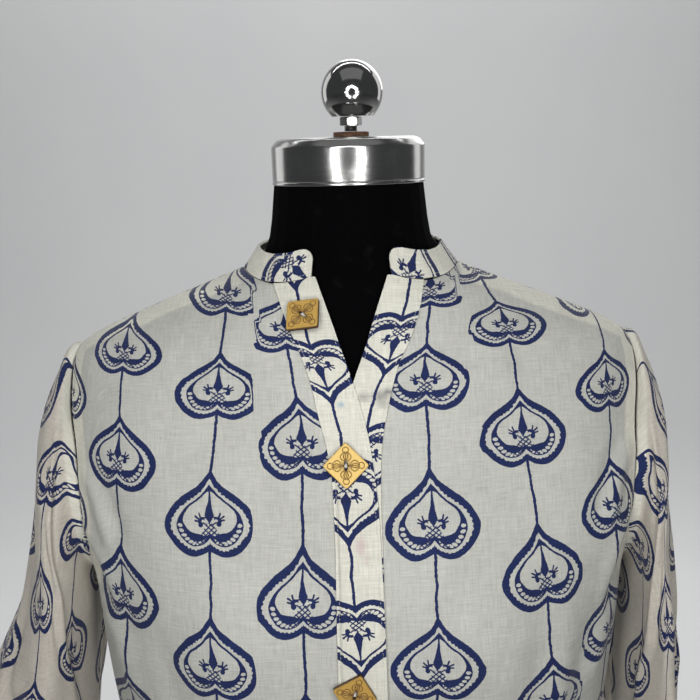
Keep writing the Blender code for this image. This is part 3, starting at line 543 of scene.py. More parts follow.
def ridge_z(x):
    """Height of the shoulder line at half widths."""
    low, high = np.full(np.shape(x), 1.320), np.full(np.shape(x), SHOULDER_NECK_Z)
    for _ in range(30):
        middle = (low + high) / 2.0
        wider = read(KURTA, "half_width", middle) > x
        low = np.where(wider, middle, low)
        high = np.where(wider, high, middle)
    return (low + high) / 2.0


def neckline_z(x):
    return read(NECKLINE, "z", np.abs(x), key="x")


def band_edge(z, sign):
    return read(BAND_UNDER if sign > 0 else BAND_TOP, "edge", z)


def band_free_edge(z, sign):
    return read(BAND_UNDER if sign > 0 else BAND_TOP, "free", z)


def front_inner_x(z, sign):
    cover = mix(0.0160, BAND_MARGIN, smooth((z - 1.261) / 0.050))
    return np.maximum(SEAM / 2.0, band_edge(z, sign) - cover)


# Seams and hems where the cloth lies double: how far in they reach
SHOULDER_ALLOWANCE = 0.009
ARMHOLE_ALLOWANCE = 0.010
NECK_ALLOWANCE = 0.007


def panel_places(z, face, slit, sign):
    """Half widths of level rows, from the centre to the side, one row for each height."""
    half = read(KURTA, "half_width", z)[:, None]
    power = 2.0 / read(KURTA, "squareness", z)[:, None]
    share = np.linspace(0.0, 1.0, PANEL_COLUMNS + 1)[None, :]
    turn = np.radians((90.0 - slit[:, None]) * share)
    if face > 0:
        return half * np.sin(turn) ** power
    start = front_inner_x(z, sign)[:, None]
    return mix(start, half, np.sin(turn) ** power)


def low_heights():
    """Heights below the underarm, with two close rows at the top of the hem."""
    heights = np.linspace(HEM_Z, UNDERARM_Z, PANEL_ROWS_LOW + 1)
    hem_top = HEM_Z + HEM_DEPTH
    step = (hem_top - 0.0006, hem_top + 0.0006, HEM_Z + 0.0012)
    return np.unique(np.concatenate((heights, step)))


def panel_grid(face, sign):
    """Half widths and heights of half a body panel, hem first, from the centre out."""
    z = low_heights()
    slit = SLIT_DEGREES * smooth((SLIT_TOP_Z - z) / (SLIT_TOP_Z - HEM_Z))
    low_x = panel_places(z, face, slit, sign)
    low_z = np.broadcast_to(z[:, None], low_x.shape)
    start_x = 0.044 if face < 0 else 0.0
    share = np.linspace(0.0, 1.0, PANEL_COLUMNS + 1)
    spread = np.sin(share * pi / 2.0) ** 0.9
    top_x = start_x + (SHOULDER_TIP_X - start_x) * spread
    neck = neckline_z(top_x) if face < 0 else np.full_like(top_x, SHOULDER_NECK_Z)
    top_z = np.where(top_x > SHOULDER_NECK_X, ridge_z(top_x), neck)
    rise = np.linspace(0.0, 1.0, PANEL_ROWS_HIGH + 1)[1:, None]
    blend = smooth(rise)
    crowd = mix(1.35, 2.0, smooth(share / 0.3))[None, :]
    high_z = top_z[None, :] - (top_z[None, :] - UNDERARM_Z) * (1.0 - rise) ** crowd
    start = front_inner_x(high_z, sign) if face < 0 else np.zeros_like(high_z)
    stop = read(ARMHOLE, "x", high_z)
    last = low_x[-1]
    low_share = (last - last[0]) / (last[-1] - last[0])
    top_share = (top_x - top_x[0]) / (top_x[-1] - top_x[0])
    high_x = mix(start, stop, mix(low_share[None, :], top_share[None, :], blend))
    high_x[-1] = top_x
    if face < 0:
        high_x[-1, 0] = front_inner_x(high_z[-1, :1], sign)[0]
    x = np.concatenate((low_x, high_x)) * sign
    return x, np.concatenate((low_z, high_z))


def edge_dips(x, z):
    """Small valleys where a panel is sewn to its neighbours, and the fuller hems."""
    hem_top = HEM_Z + HEM_DEPTH
    lift = 0.0004 * smooth((hem_top + 0.0006 - z) / 0.0012)
    shoulder = np.where(np.abs(x) > SHOULDER_NECK_X, ridge_z(np.abs(x)) - z, 1.0)
    return lift - 0.0005 * np.exp(-((shoulder / 0.0016) ** 2))


def cut_tables(face):
    """Tables for the flat cut: length round at a reference height, and length up the cloth."""
    lanes = np.linspace(0.0, 0.2155, 120)
    rows = np.linspace(HEM_Z, SHOULDER_NECK_Z, 420)
    across, _ = surface(KURTA, lanes, np.full_like(lanes, 1.20), face, 0.0)
    steps = np.linalg.norm(np.diff(across[:, :2], axis=0), axis=1)
    steps = np.minimum(steps, 2.4 * np.diff(lanes))
    round_length = np.concatenate(([0.0], np.cumsum(steps)))
    grid_x, grid_z = np.meshgrid(lanes, rows)
    points, _ = surface(KURTA, grid_x, grid_z, face, 0.0)
    up = np.hypot(np.diff(points[..., 1], axis=0), np.diff(points[..., 2], axis=0))
    up = np.minimum(up, 2.4 * np.diff(rows)[:, None])
    up_length = np.concatenate((np.zeros((1, len(lanes))), np.cumsum(up, axis=0)))
    return lanes, rows, round_length, up_length


CUT_TABLES = {face: cut_tables(face) for face in (-1, 1)}


def flat_cut(x, z, face):
    """Place of points on the flat cut, from the centre line and up from the hem."""
    lanes, rows, round_length, up_length = CUT_TABLES[face]
    u = np.sign(x) * np.interp(np.abs(x), lanes, round_length)
    i = np.clip(np.abs(x) / lanes[-1] * (len(lanes) - 1), 0.0, len(lanes) - 1.001)
    j = np.clip((z - rows[0]) / (rows[-1] - rows[0]) * (len(rows) - 1), 0.0, len(rows) - 1.001)
    i0, j0 = i.astype(int), j.astype(int)
    fi, fj = i - i0, j - j0
    low = mix(up_length[j0, i0], up_length[j0, i0 + 1], fi)
    high = mix(up_length[j0 + 1, i0], up_length[j0 + 1, i0 + 1], fi)
    return np.stack((u, mix(low, high, fj)), axis=-1)


def round_length(x, face):
    """Length round the body from the centre line, signed as x is."""
    lanes, _, lengths, _ = CUT_TABLES[face]
    return np.sign(x) * np.interp(np.abs(x), lanes, lengths)


def print_line(rows, z, face):
    """Where a printed column runs at heights: its place round the body, and its repeats."""
    zs = [HEM_Z] + [row.z for row in rows] + [SHOULDER_NECK_Z + 0.002]
    xs = [rows[0].x] + [row.x for row in rows] + [rows[-1].x]
    low = rows[0].repeat - (rows[0].z - HEM_Z) / 0.094
    high = rows[-1].repeat + (zs[-1] - rows[-1].z) / 0.050
    repeats = [low] + [row.repeat for row in rows] + [high]
    return round_length(curve(zs, xs, z), face), curve(zs, repeats, z)


def body_print(x, z, face):
    """Place on the block print of points of a body panel."""
    if face < 0:
        lines = [print_line(rows, z, face) for rows in FRONT_PRINT]
    else:
        lines = []
        for at in BACK_PRINT_X:
            rows = [PrintRow(height, at, n) for n, height in enumerate(BACK_PRINT_Z)]
            lines.append(print_line(rows, z, face))
    first, last = lines[0], lines[-1]
    turned = [(first[0] - PRINT_ACROSS * k, first[1]) for k in (3, 2, 1)]
    lines = turned + lines + [(last[0] + PRINT_ACROSS * k, last[1]) for k in (1, 2, 3)]
    at = round_length(x, face)
    u, repeat = np.zeros_like(at), np.zeros_like(at)
    for k, (left, right) in enumerate(zip(lines, lines[1:])):
        gap = np.maximum(right[0] - left[0], 0.02)
        true = np.minimum(PRINT_TRUE, gap * 0.489)
        run = at - left[0]
        share = (run - true) / (gap - 2.0 * true)
        middle = true + share * (PRINT_ACROSS - 2.0 * true)
        inner = np.where(run > gap - true, PRINT_ACROSS - gap + run, middle)
        place = np.where(run < true, run, inner)
        here = (run >= 0.0) & (run < gap)
        u = np.where(here, (k - 2) * PRINT_ACROSS + place, u)
        repeat = np.where(here, mix(left[1], right[1], smooth(share)), repeat)
    return np.stack((u, repeat * PRINT_UP + PRINT_DROP), axis=-1)


def band_print(x, z, rows):
    """Place on the print of points of a band, whose cloth is turned upside down."""
    return np.stack((read(rows, "x", z) - x, -PRINT_UP * read(rows, "repeat", z)), axis=-1)


def grid_normals(points, closed=False):
    """Normals of a grid of points, of either sense."""
    if closed:
        ring = np.concatenate((points[:, -2:-1], points, points[:, 1:2]), axis=1)
        across = (ring[:, 2:] - ring[:, :-2])
    else:
        across = np.gradient(points, axis=1)
    up = np.gradient(points, axis=0)
    return unit(np.cross(across, up))


def shell(name, points, maps, material, thickness, centre, extra=None, rims=False):
    """A cloth piece through a grid of points, faced away from centre and thickened inwards."""
    rows, columns = points.shape[:2]
    index = np.arange(rows * columns).reshape(rows, columns)
    quads = np.stack(
        (index[:-1, :-1], index[:-1, 1:], index[1:, 1:], index[1:, :-1]), axis=-1
    ).reshape(-1, 4)
    flat = points.reshape(-1, 3)
    corner = flat[quads]
    normal = np.cross(corner[:, 2] - corner[:, 0], corner[:, 3] - corner[:, 1])
    facing = np.einsum("ij,ij->i", normal, corner.mean(axis=1) - np.asarray(centre))
    if facing.sum() < 0:
        quads = quads[:, ::-1]
    mesh = bpy.data.meshes.new(name)
    mesh.from_pydata(flat.tolist(), [], quads.tolist())
    order = np.zeros(len(mesh.loops), dtype=np.int32)
    mesh.loops.foreach_get("vertex_index", order)
    for key, places in zip(("Cut", "Print"), maps):
        layer = mesh.uv_layers.new(name=key)
        layer.data.foreach_set("uv", places.reshape(-1, 2)[order].ravel())
    for key, values in (extra or {}).items():
        attribute = mesh.attributes.new(key, "FLOAT", "POINT")
        attribute.data.foreach_set("value", np.ravel(values).astype(np.float32))
    mesh.shade_smooth()
    mesh.update()
    mesh.materials.append(material)
    item = bpy.data.objects.new(name, mesh)
    cloth_group.objects.link(item)
    wall = item.modifiers.new("wall", "SOLIDIFY")
    wall.thickness = thickness
    wall.offset = -1.0
    wall.use_even_offset = False
    if rims:
        rim = item.modifiers.new("rim", "BEVEL")
        rim.width = 0.00035
        rim.segments = 2
        rim.limit_method = "ANGLE"
        rim.angle_limit = radians(50)
        rim.harden_normals = False
    return item


def sample(grid, rows, columns):
    """Values of a grid at fractional rows and columns."""
    rows = np.clip(np.asarray(rows, float), 0.0, grid.shape[0] - 1.001)
    columns = np.clip(np.asarray(columns, float), 0.0, grid.shape[1] - 1.001)
    rows, columns = np.broadcast_arrays(rows, columns)
    r, c = rows.astype(int), columns.astype(int)
    fr, fc = (rows - r)[..., None], (columns - c)[..., None]
    low = mix(grid[r, c], grid[r, c + 1], fc)
    high = mix(grid[r + 1, c], grid[r + 1, c + 1], fc)
    return mix(low, high, fr)


def double_amount(x, z, face):
    """How much of the cloth lies double: hems, slit hems and seam allowances."""
    hem = smooth((HEM_Z + HEM_DEPTH + 0.0006 - z) / 0.0012)
    half = read(KURTA, "half_width", z)
    side = half - np.abs(x)
    slit = smooth((SLIT_HEM - side) / 0.002) * smooth((SLIT_TOP_Z + 0.01 - z) / 0.01)
    above = np.abs(x) > SHOULDER_NECK_X
    shoulder = np.where(above, ridge_z(np.abs(x)) - z, 1.0)
    seam = smooth((SHOULDER_ALLOWANCE - shoulder) / 0.002)
    armhole = read(ARMHOLE, "x", z) - np.abs(x)
    arm = smooth((ARMHOLE_ALLOWANCE - armhole) / 0.002) * (z > UNDERARM_Z)
    return np.maximum.reduce([hem, slit, seam, arm])


# Stains at the front: place, width and height
Stain = namedtuple("Stain", "x z width tall amount")
SMUDGES = (
    Stain(0.0060, 1.3105, 0.0050, 0.0030, 0.55),
    Stain(0.0165, 1.3105, 0.0060, 0.0034, 0.70),
    Stain(0.0215, 1.3135, 0.0040, 0.0022, 0.95),
    Stain(0.0180, 1.3055, 0.0050, 0.0020, 0.55),
)
BLUE_DOT = (Stain(-0.0088, 1.3060, 0.0020, 0.0011, 0.8),)
PINK_STAIN = (Stain(0.0015, 1.2195, 0.0035, 0.0060, 0.5), Stain(0.0050, 1.2120, 0.0020, 0.0040, 0.3))


def stain_amount(x, z, stains):
    amount = np.zeros_like(x)
    for stain in stains:
        away = ((x - stain.x) / stain.width) ** 2 + ((z - stain.z) / stain.tall) ** 2
        amount = np.maximum(amount, stain.amount * np.exp(-(away**1.5)))
    return amount


def smudge_amount(x, z):
    return stain_amount(x, z, SMUDGES)


def make_panels(material):
    """The two fronts and the back. Gives back the grids for seams and stitches."""
    grids = {}
    for face, place in ((-1, "front"), (1, "back")):
        for sign, side in ((-1, "left"), (1, "right")):
            x, z = panel_grid(face, sign)
            lift = edge_dips(x, z)
            points = kurta_point(x, z, face, lift)
            level = z[:, -1] <= UNDERARM_Z
            sewn = (z[:, -1] >= SLIT_TOP_Z) & level
            points[sewn, -1, 1] = 0.0
            top = points[-1]
            ridge = np.abs(x[-1]) >= SHOULDER_NECK_X - 1e-6
            top[ridge, 1] = 0.0
            grids[side, place] = (points, x, z, face)
    for side in ("left", "right"):
        points, x, z, face = grids[side, "front"]
        item = shell(
            f"kurta_front_{side}_cloth",
            points,
            (flat_cut(x, z, face), body_print(x, z, face)),
            material,
            SINGLE,
            (0.0, 0.0, 1.1),
            {"double": double_amount(x, z, face), "smudge": smudge_amount(x, z)},
        )
        hold(item, f"kurta_front_{side}")
    left, right = grids["left", "back"], grids["right", "back"]
    points = np.concatenate((left[0][:, :0:-1], right[0]), axis=1)
    x = np.concatenate((left[1][:, :0:-1], right[1]), axis=1)
    z = np.concatenate((left[2][:, :0:-1], right[2]), axis=1)
    item = shell(
        "kurta_back_cloth",
        points,
        (flat_cut(x, z, 1), body_print(x, z, 1)),
        material,
        SINGLE,
        (0.0, 0.0, 1.1),
        {"double": double_amount(x, z, 1)},
    )
    hold(item, "kurta_back")
    return grids


def hold(item, node):
    """Every cloth piece rides on the body and stands for its solid."""
    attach(item, "root")
    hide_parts(node)


def armhole_loop(front, back):
    """Points of an armhole from the shoulder tip by the front to the underarm and up the back,
    each with the direction in which the body's surface runs on past it."""
    first = len(low_heights()) - 1

    def edge(points):
        return points[first:, -1], points[first:, -1] - points[first:, -2]

    front_at, front_run = edge(front)
    back_at, back_run = edge(back)
    tip = (front_at[-1] + back_at[-1]) / 2.0
    tip_run = (front_run[-1] + back_run[-1]) / 2.0
    under = (front_at[0] + back_at[0]) / 2.0
    at = np.concatenate((tip[None], front_at[-2:0:-1], under[None], back_at[1:-1]))
    up = np.array((0.0, 0.0, 1.0))
    run = np.concatenate((tip_run[None], front_run[-2:0:-1], up[None], back_run[1:-1]))
    along = unit(np.roll(at, -1, axis=0) - np.roll(at, 1, axis=0))
    run = run - along * np.einsum("ij,ij->i", run, along)[:, None]
    return at, unit(run)


def ring_angles(at):
    """Angle round a sleeve for each point of its armhole, by length along the edge."""
    half = len(at) // 2
    steps = np.linalg.norm(np.roll(at, -1, axis=0) - at, axis=1)
    first = np.concatenate(([0.0], np.cumsum(steps[:half])))
    second = np.concatenate(([0.0], np.cumsum(steps[half:])))
    return np.concatenate((pi * first[:-1] / first[-1], pi + pi * second[:-1] / second[-1]))


def sleeve_push(folds, angle, ring):
    push = np.zeros_like(angle)
    for fold in folds:
        away = (np.degrees(angle) - fold.degrees + 180.0) % 360.0 - 180.0
        push += fold.height * np.exp(-((away / fold.width) ** 2)) * smooth((ring - fold.ring) / 4.0)
    return push


# Creases of the sleeves: angle round by the front and metres up from the cuff
SleeveCrease = namedtuple("SleeveCrease", "width push valley points")
CREASES_RIGHT = (
    # Drag folds at the front of the armhole
    SleeveCrease(0.0060, 0.0034, 1, ((62, 0.395), (84, 0.365), (104, 0.320))),
    SleeveCrease(0.0070, 0.0036, -1, ((88, 0.352), (108, 0.318), (120, 0.262))),
    SleeveCrease(0.0060, 0.0026, 1, ((116, 0.300), (132, 0.262), (140, 0.210))),
    # The long front ridge
    SleeveCrease(0.0080, 0.0030, -1, ((76, 0.330), (80, 0.250), (84, 0.150), (82, 0.050))),
    SleeveCrease(0.0070, 0.0022, 1, ((46, 0.300), (40, 0.220), (42, 0.120))),
    SleeveCrease(0.0060, 0.0022, 1, ((20, 0.250), (30, 0.200), (52, 0.160))),
    SleeveCrease(0.0065, 0.0022, -1, ((352, 0.200), (366, 0.140), (380, 0.060))),
    # Back
    SleeveCrease(0.0070, 0.0032, 1, ((296, 0.380), (278, 0.340), (262, 0.280))),
    SleeveCrease(0.0070, 0.0030, -1, ((272, 0.330), (254, 0.290), (244, 0.220))),
    SleeveCrease(0.0080, 0.0026, 1, ((314, 0.260), (322, 0.160), (316, 0.050))),
    SleeveCrease(0.0080, 0.0022, -1, ((236, 0.200), (230, 0.130), (236, 0.040))),
)
CREASES_LEFT = (
    # Drag folds at the front of the armhole
    SleeveCrease(0.0060, 0.0032, 1, ((58, 0.400), (80, 0.372), (100, 0.330))),
    SleeveCrease(0.0065, 0.0036, -1, ((84, 0.364), (106, 0.330), (120, 0.276))),
    SleeveCrease(0.0060, 0.0028, 1, ((114, 0.310), (130, 0.270), (138, 0.214))),
    # The forked crease low on the front
    SleeveCrease(0.0060, 0.0030, 1, ((30, 0.236), (46, 0.196), (62, 0.170), (70, 0.110))),
    SleeveCrease(0.0055, 0.0026, -1, ((92, 0.226), (78, 0.196), (64, 0.168))),
    SleeveCrease(0.0075, 0.0024, 1, ((40, 0.330), (34, 0.260), (40, 0.190))),
    SleeveCrease(0.0070, 0.0024, -1, ((352, 0.260), (364, 0.190), (372, 0.100), (368, 0.040))),
    SleeveCrease(0.0070, 0.0022, 1, ((96, 0.190), (104, 0.120), (98, 0.050))),
    # Back
    SleeveCrease(0.0070, 0.0032, -1, ((300, 0.384), (282, 0.350), (266, 0.290))),
    SleeveCrease(0.0070, 0.0030, 1, ((274, 0.340), (256, 0.296), (246, 0.226))),
    SleeveCrease(0.0080, 0.0026, -1, ((318, 0.250), (326, 0.150), (320, 0.050))),
    SleeveCrease(0.0080, 0.0022, 1, ((234, 0.200), (228, 0.120), (232, 0.040))),
)
SLEEVE_ROUND = 0.075  # metres of cloth for a radian, used to place creases


def sleeve_grid(front, back, rings, folds, creases, sign):
    """Points, angles and heights up from the cuff of a sleeve, armhole first."""
    at, run = armhole_loop(front, back)
    angles = ring_angles(at)
    knots = [at + run * SEAM]
    for k, ring in enumerate(rings):
        outer = np.array((ring.outer_x, 0.0, ring.outer_z))
        inner = np.array((ring.inner_x, 0.0, ring.inner_z))
        middle, reach = (outer + inner) / 2.0, (outer - inner) / 2.0
        push = sleeve_push(folds, angles, np.full_like(angles, k))[:, None]
        way = reach / np.linalg.norm(reach)
        out = np.cos(angles)[:, None] * way
        out[:, 1] = -np.sin(angles)
        row = middle + reach * np.cos(angles)[:, None]
        row[:, 1] = -ring.half_depth * np.sin(angles)
        row = row + out * push
        row[:, 0] = sign * np.maximum(row[:, 0], 0.1965)
        knots.append(row)
    # The grid starts and ends at the underarm seam
    half = len(angles) // 2
    knots = np.array(knots)
    knots = np.concatenate((knots[:, half:], knots[:, : half + 1]), axis=1)
    angles = np.concatenate((angles[half:] - 2.0 * pi, angles[: half + 1]))
    steps = np.linalg.norm(np.diff(knots, axis=0), axis=-1).mean(axis=1)
    along = np.concatenate(([0.0], np.cumsum(steps)))
    fine = along[-1] * np.linspace(0.0, 1.0, SLEEVE_ROWS + 1) ** 1.15
    cuff_top = along[-1] - CUFF_DEPTH
    fine = np.unique(np.concatenate((fine, (cuff_top - 0.0006, cuff_top + 0.0006))))
    points = curve(along, knots, fine)
    normals = grid_normals(points, closed=True)
    centre = np.array((sign * 0.217, 0.0, 1.1))
    if np.einsum("ijk,ijk->", normals, points - centre) < 0:
        normals = -normals
    up = along[-1] - fine
    place_x = np.broadcast_to(angles[None, :], points.shape[:2]) * SLEEVE_ROUND
    place_z = np.broadcast_to(up[:, None], points.shape[:2])
    push = np.zeros(points.shape[:2])
    for crease in creases:
        line = [(radians(a) * SLEEVE_ROUND, height) for a, height in crease.points]
        for turn in (0.0, 2.0 * pi * SLEEVE_ROUND):
            moved = crease._replace(points=tuple((a - turn, height) for a, height in line))
            push += crease_push(place_x, place_z, [moved])
    push += ripple_push(place_x * 0.9 + 1.3 + sign, place_z)
    calm = smooth((fine - 0.002) / 0.020)[:, None]
    wrap = smooth((pi * SLEEVE_ROUND - np.abs(place_x)) / 0.012)
    push = push * calm * mix(0.3, 1.0, wrap)
    cuff = 0.0004 * smooth((CUFF_DEPTH + 0.0006 - place_z) / 0.0012)
    dip = -0.0006 * np.exp(-((fine / 0.0016) ** 2))[:, None]
    points = points + normals * (push + cuff + dip)[..., None]
    inner = sign * points[..., 0] < 0.1955
    below = place_z < along[-1] - 0.012
    points[..., 0] = np.where(inner & below, sign * 0.1955, points[..., 0])
    return points, normals, place_x, place_z


def make_sleeves(grids, material):
    made = {}
    for side, sign, rings, folds, creases in (
        ("right", 1, SLEEVE_RIGHT, FOLDS_RIGHT, CREASES_RIGHT),
        ("left", -1, SLEEVE_LEFT, FOLDS_LEFT, CREASES_LEFT),
    ):
        front, back = grids[side, "front"][0], grids[side, "back"][0]
        points, normals, place_x, place_z = sleeve_grid(front, back, rings, folds, creases, sign)
        cuff = smooth((CUFF_DEPTH + 0.0006 - place_z) / 0.0012)
        top = place_z.max() - place_z
        head = smooth((ARMHOLE_ALLOWANCE * 0.8 - top) / 0.002)
        item = shell(
            f"sleeve_{side}_cloth",
            points,
            sleeve_maps(points, place_x, side),
            material,
            SINGLE,
            (sign * 0.217, 0.0, 1.1),
            {"double": np.maximum(cuff, head), "sleeve": np.ones_like(cuff)},
        )
        hold(item, f"sleeve_{side}")
        made[side] = (points, normals, place_x, place_z)
    return made


def sleeve_maps(points, place_x, side):
    """Flat cut and print of a sleeve: length round from its outer line, and up from the cuff."""
    rise = np.linalg.norm(np.diff(points[::-1], axis=0), axis=-1)
    rise = np.concatenate((np.zeros((1, points.shape[1])), np.cumsum(rise, axis=0)))[::-1]
    steps = np.linalg.norm(np.diff(points, axis=1), axis=-1)
    around = np.concatenate((np.zeros((len(points), 1)), np.cumsum(steps, axis=1)), axis=1)
    outer = int(np.argmin(np.abs(place_x[0])))
    around = around - around[:, outer : outer + 1]
    # The thread runs straight up, so the lengths round are evened out over nearby rows
    rows = np.maximum(np.arange(len(points)), SLEEVE_CAP_ROWS)
    near = np.clip(rows[:, None] + np.arange(-14, 15)[None, :], SLEEVE_CAP_ROWS, len(points) - 1)
    around = around[near].mean(axis=1)
    shift = np.array(SLEEVE_PRINT[side])
    cut = np.stack((around, rise), axis=-1)
    return cut, cut * np.array((PRINT_ACROSS / 0.066, 1.0)) + shift


BAND_ROWS_LOW = 44
BAND_ROWS_HIGH = 96


def band_heights(x):
    """Heights of a band's rows at places across it, one column for each place."""
    low = np.linspace(PLACKET_END_Z, UNDERARM_Z, BAND_ROWS_LOW + 1)[:, None]
    steps = (1.0 - np.linspace(0.0, 1.0, BAND_ROWS_HIGH + 1)[1:]) ** 1.35
    top = neckline_z(x)[None, :]
    high = top - (top - UNDERARM_Z) * steps[:, None]
    return np.concatenate((np.broadcast_to(low, (len(low), high.shape[1])), high))


def top_band_marks(z):
    """Sewn edge, foot and head of the step up on to the under band, and free edge."""
    sewn = -(band_edge(z, -1) + BAND_MARGIN)
    free = -band_free_edge(z, -1)
    step = np.maximum(sewn + 0.0022, np.minimum(band_free_edge(z, 1) - 0.0012, free - 0.0120))
    return sewn, mix(sewn, step, 0.4), step, free


def band_places(z, sign):
    """Places across a band at heights, from its sewn edge to its free edge."""
    if sign > 0:
        share = np.linspace(0.0, 1.0, 23)[None, :]
        return mix(band_edge(z, 1)[:, None], band_free_edge(z, 1)[:, None], share)
    sewn, foot, step, free = [value[:, None] for value in top_band_marks(z)]
    first = mix(sewn, foot, np.linspace(0.0, 1.0, 5)[None, :-1])
    second = mix(foot, step, np.linspace(0.0, 1.0, 7)[None, :-1])
    third = mix(step, free, np.linspace(0.0, 1.0, 18)[None, :])
    return np.concatenate((first, second, third), axis=1)


def top_lift(x, z):
    _, foot, step, _ = top_band_marks(z)
    climb = np.clip((x - foot) / (step - foot), 0.0, 1.0)
    return LAYER * (1.0 + climb * smooth((1.345 - z) / 0.020))


def band_grid(sign):
    """Points of a band, low end first, each row from its sewn edge to its free edge."""
    row_z = band_heights(np.array([0.05]))[:, 0]
    x = band_places(row_z, sign)
    z = np.array([band_heights(row)[k] for k, row in enumerate(x)])
    z = np.minimum(z, neckline_z(x) - GAP)
    level = np.broadcast_to(row_z[:, None], x.shape)
    lift = top_lift(x, level) if sign < 0 else np.full_like(x, LAYER)
    inset = np.abs(x - x[:, :1])
    width = np.abs(x[:, -1:] - x[:, :1])
    for line in (inset, width - inset):
        lift = lift - 0.00022 * np.exp(-(((line - 0.0020) / 0.0009) ** 2))
        lift = lift + 0.00010 * np.sin(level * 2.0 * pi / 0.0105) * np.exp(-((line / 0.003) ** 2))
    return kurta_point(x, z, -1, lift), x, z


def make_bands(material):
    made = {}
    for sign, name, rows in (
        (1, "placket_under", UNDER_BAND_PRINT),
        (-1, "placket_top", TOP_BAND_PRINT),
    ):
        points, x, z = band_grid(sign)
        extra = {"double": np.ones_like(x)}
        if sign > 0:
            extra["smudge"] = smudge_amount(x, z)
        else:
            extra["blue_dot"] = stain_amount(x, z, BLUE_DOT)
            extra["pink_stain"] = stain_amount(x, z, PINK_STAIN)
        item = shell(
            f"{name}_cloth",
            points,
            (flat_cut(x, z, -1), band_print(x, z, rows)),
            material,
            BAND_CLOTH,
            (0.0, 0.0, 1.1),
            extra,
            rims=True,
        )
        hold(item, name)
        made[name] = (points, x, z)
    return made


def neck_curve():
    """The line on which the collar stands, from its left front end round the back."""
    count = 600
    turn = np.linspace(0.0, pi, count + 1)
    n = 2.0 / float(read(KURTA, "squareness", SHOULDER_NECK_Z))
    x = SHOULDER_NECK_X * np.sin(turn) ** n
    front = turn < pi / 2.0
    keep = ~(front & (x < COLLAR_END_X))
    x, front = x[keep], front[keep]
    z = np.where(front, neckline_z(x), SHOULDER_NECK_Z)
    lift = np.where(front, LAYER * smooth((0.060 - x) / 0.008), 0.0)
    half = read(KURTA, "half_width", z)
    ahead, _ = surface(KURTA, np.minimum(x, half), z, -1, 0.0)
    behind, _ = surface(KURTA, np.minimum(x, half), z, 1, 0.0)
    points = np.where(front[:, None], ahead, behind)
    points = points + base_normal(x, z, -1) * np.where(front, lift, 0.0)[:, None]
    seat = SEAM + COLLAR_SEAT * smooth((x / SHOULDER_NECK_X) ** 2 / 0.5)
    points[:, 2] += seat - 0.0008
    left = points * np.array((-1.0, 1.0, 1.0))
    return np.concatenate((left, points[-2::-1]))


def collar_grid():
    """Points of the collar's outer face and their flat cut, low edge first."""
    line = neck_curve()
    lengths = np.concatenate(([0.0], np.cumsum(np.linalg.norm(np.diff(line, axis=0), axis=1))))
    total = lengths[-1]
    ends = COLLAR_END_ROUND * (1.0 - np.cos(np.linspace(0.0, pi / 2.0, 14)))
    middle = np.linspace(COLLAR_END_ROUND, total - COLLAR_END_ROUND, COLLAR_STATIONS + 1)
    places = np.concatenate((ends[:-1], middle, (total - ends[:-1])[::-1]))
    foot = np.stack([np.interp(places, lengths, line[:, k]) for k in range(3)], axis=-1)
    from_end = np.minimum(places, total - places)
    side = (foot[:, 0] / SHOULDER_NECK_X) ** 2
    full = mix(COLLAR_RISE_FRONT, COLLAR_RISE_SIDE, side) + 0.0008
    cut = np.maximum(0.0, COLLAR_END_ROUND - from_end)
    height = full - COLLAR_END_ROUND + np.sqrt(COLLAR_END_ROUND**2 - cut**2)
    share = np.linspace(0.0, 1.0, COLLAR_ROWS + 1)[:, None]
    rise = height[None, :] * share
    lean = mix(COLLAR_LEAN_FRONT, COLLAR_LEAN_SIDE, side)[None, :] * rise / full[None, :]
    inward = unit(foot * np.array((-1.0, -1.0, 0.0)))
    wave = 0.00030 * np.sin(places * 61.0) + 0.00022 * np.sin(places * 143.0 + 1.0)
    lean = lean + wave[None, :] * share**1.5
    points = foot[None, :, :] + inward[None, :, :] * lean[..., None]
    points[..., 2] += rise
    flat = np.stack(np.broadcast_arrays(places[None, :] - total / 2.0, rise), axis=-1)
    return points, flat, places, total


COLLAR_PRINT_TURN = (radians(220.6), radians(115.6))  # print against the strip at its two ends
COLLAR_PRINT_SCALE = 1.06
COLLAR_PRINT_LEFT = (0.017, 0.011)  # motif's middle from the left end, and up


def collar_print(flat, total):
    """Place on the print: the collar is cut as an arc, so the print turns along it."""
    first, last = COLLAR_PRINT_TURN
    bend = (last - first) / total

    def place(along, rise):
        turn = first + bend * along
        u = (cos(first) - np.cos(turn)) / bend - rise * np.cos(turn)
        v = (np.sin(turn) - sin(first)) / bend + rise * np.sin(turn)
        return np.stack((u, v), axis=-1)

    start = place(np.array(COLLAR_PRINT_LEFT[0]), np.array(COLLAR_PRINT_LEFT[1]))
    return (place(flat[..., 0] + total / 2.0, flat[..., 1]) - start) * COLLAR_PRINT_SCALE


def make_collar(material):
    points, flat, places, total = collar_grid()
    item = shell(
        "collar_cloth",
        points,
        (flat, collar_print(flat, total)),
        material,
        COLLAR_CLOTH,
        (0.0, 0.0, 1.39),
        {"double": np.ones(points.shape[:2])},
        rims=True,
    )
    hold(item, "collar")
    return points, places, total


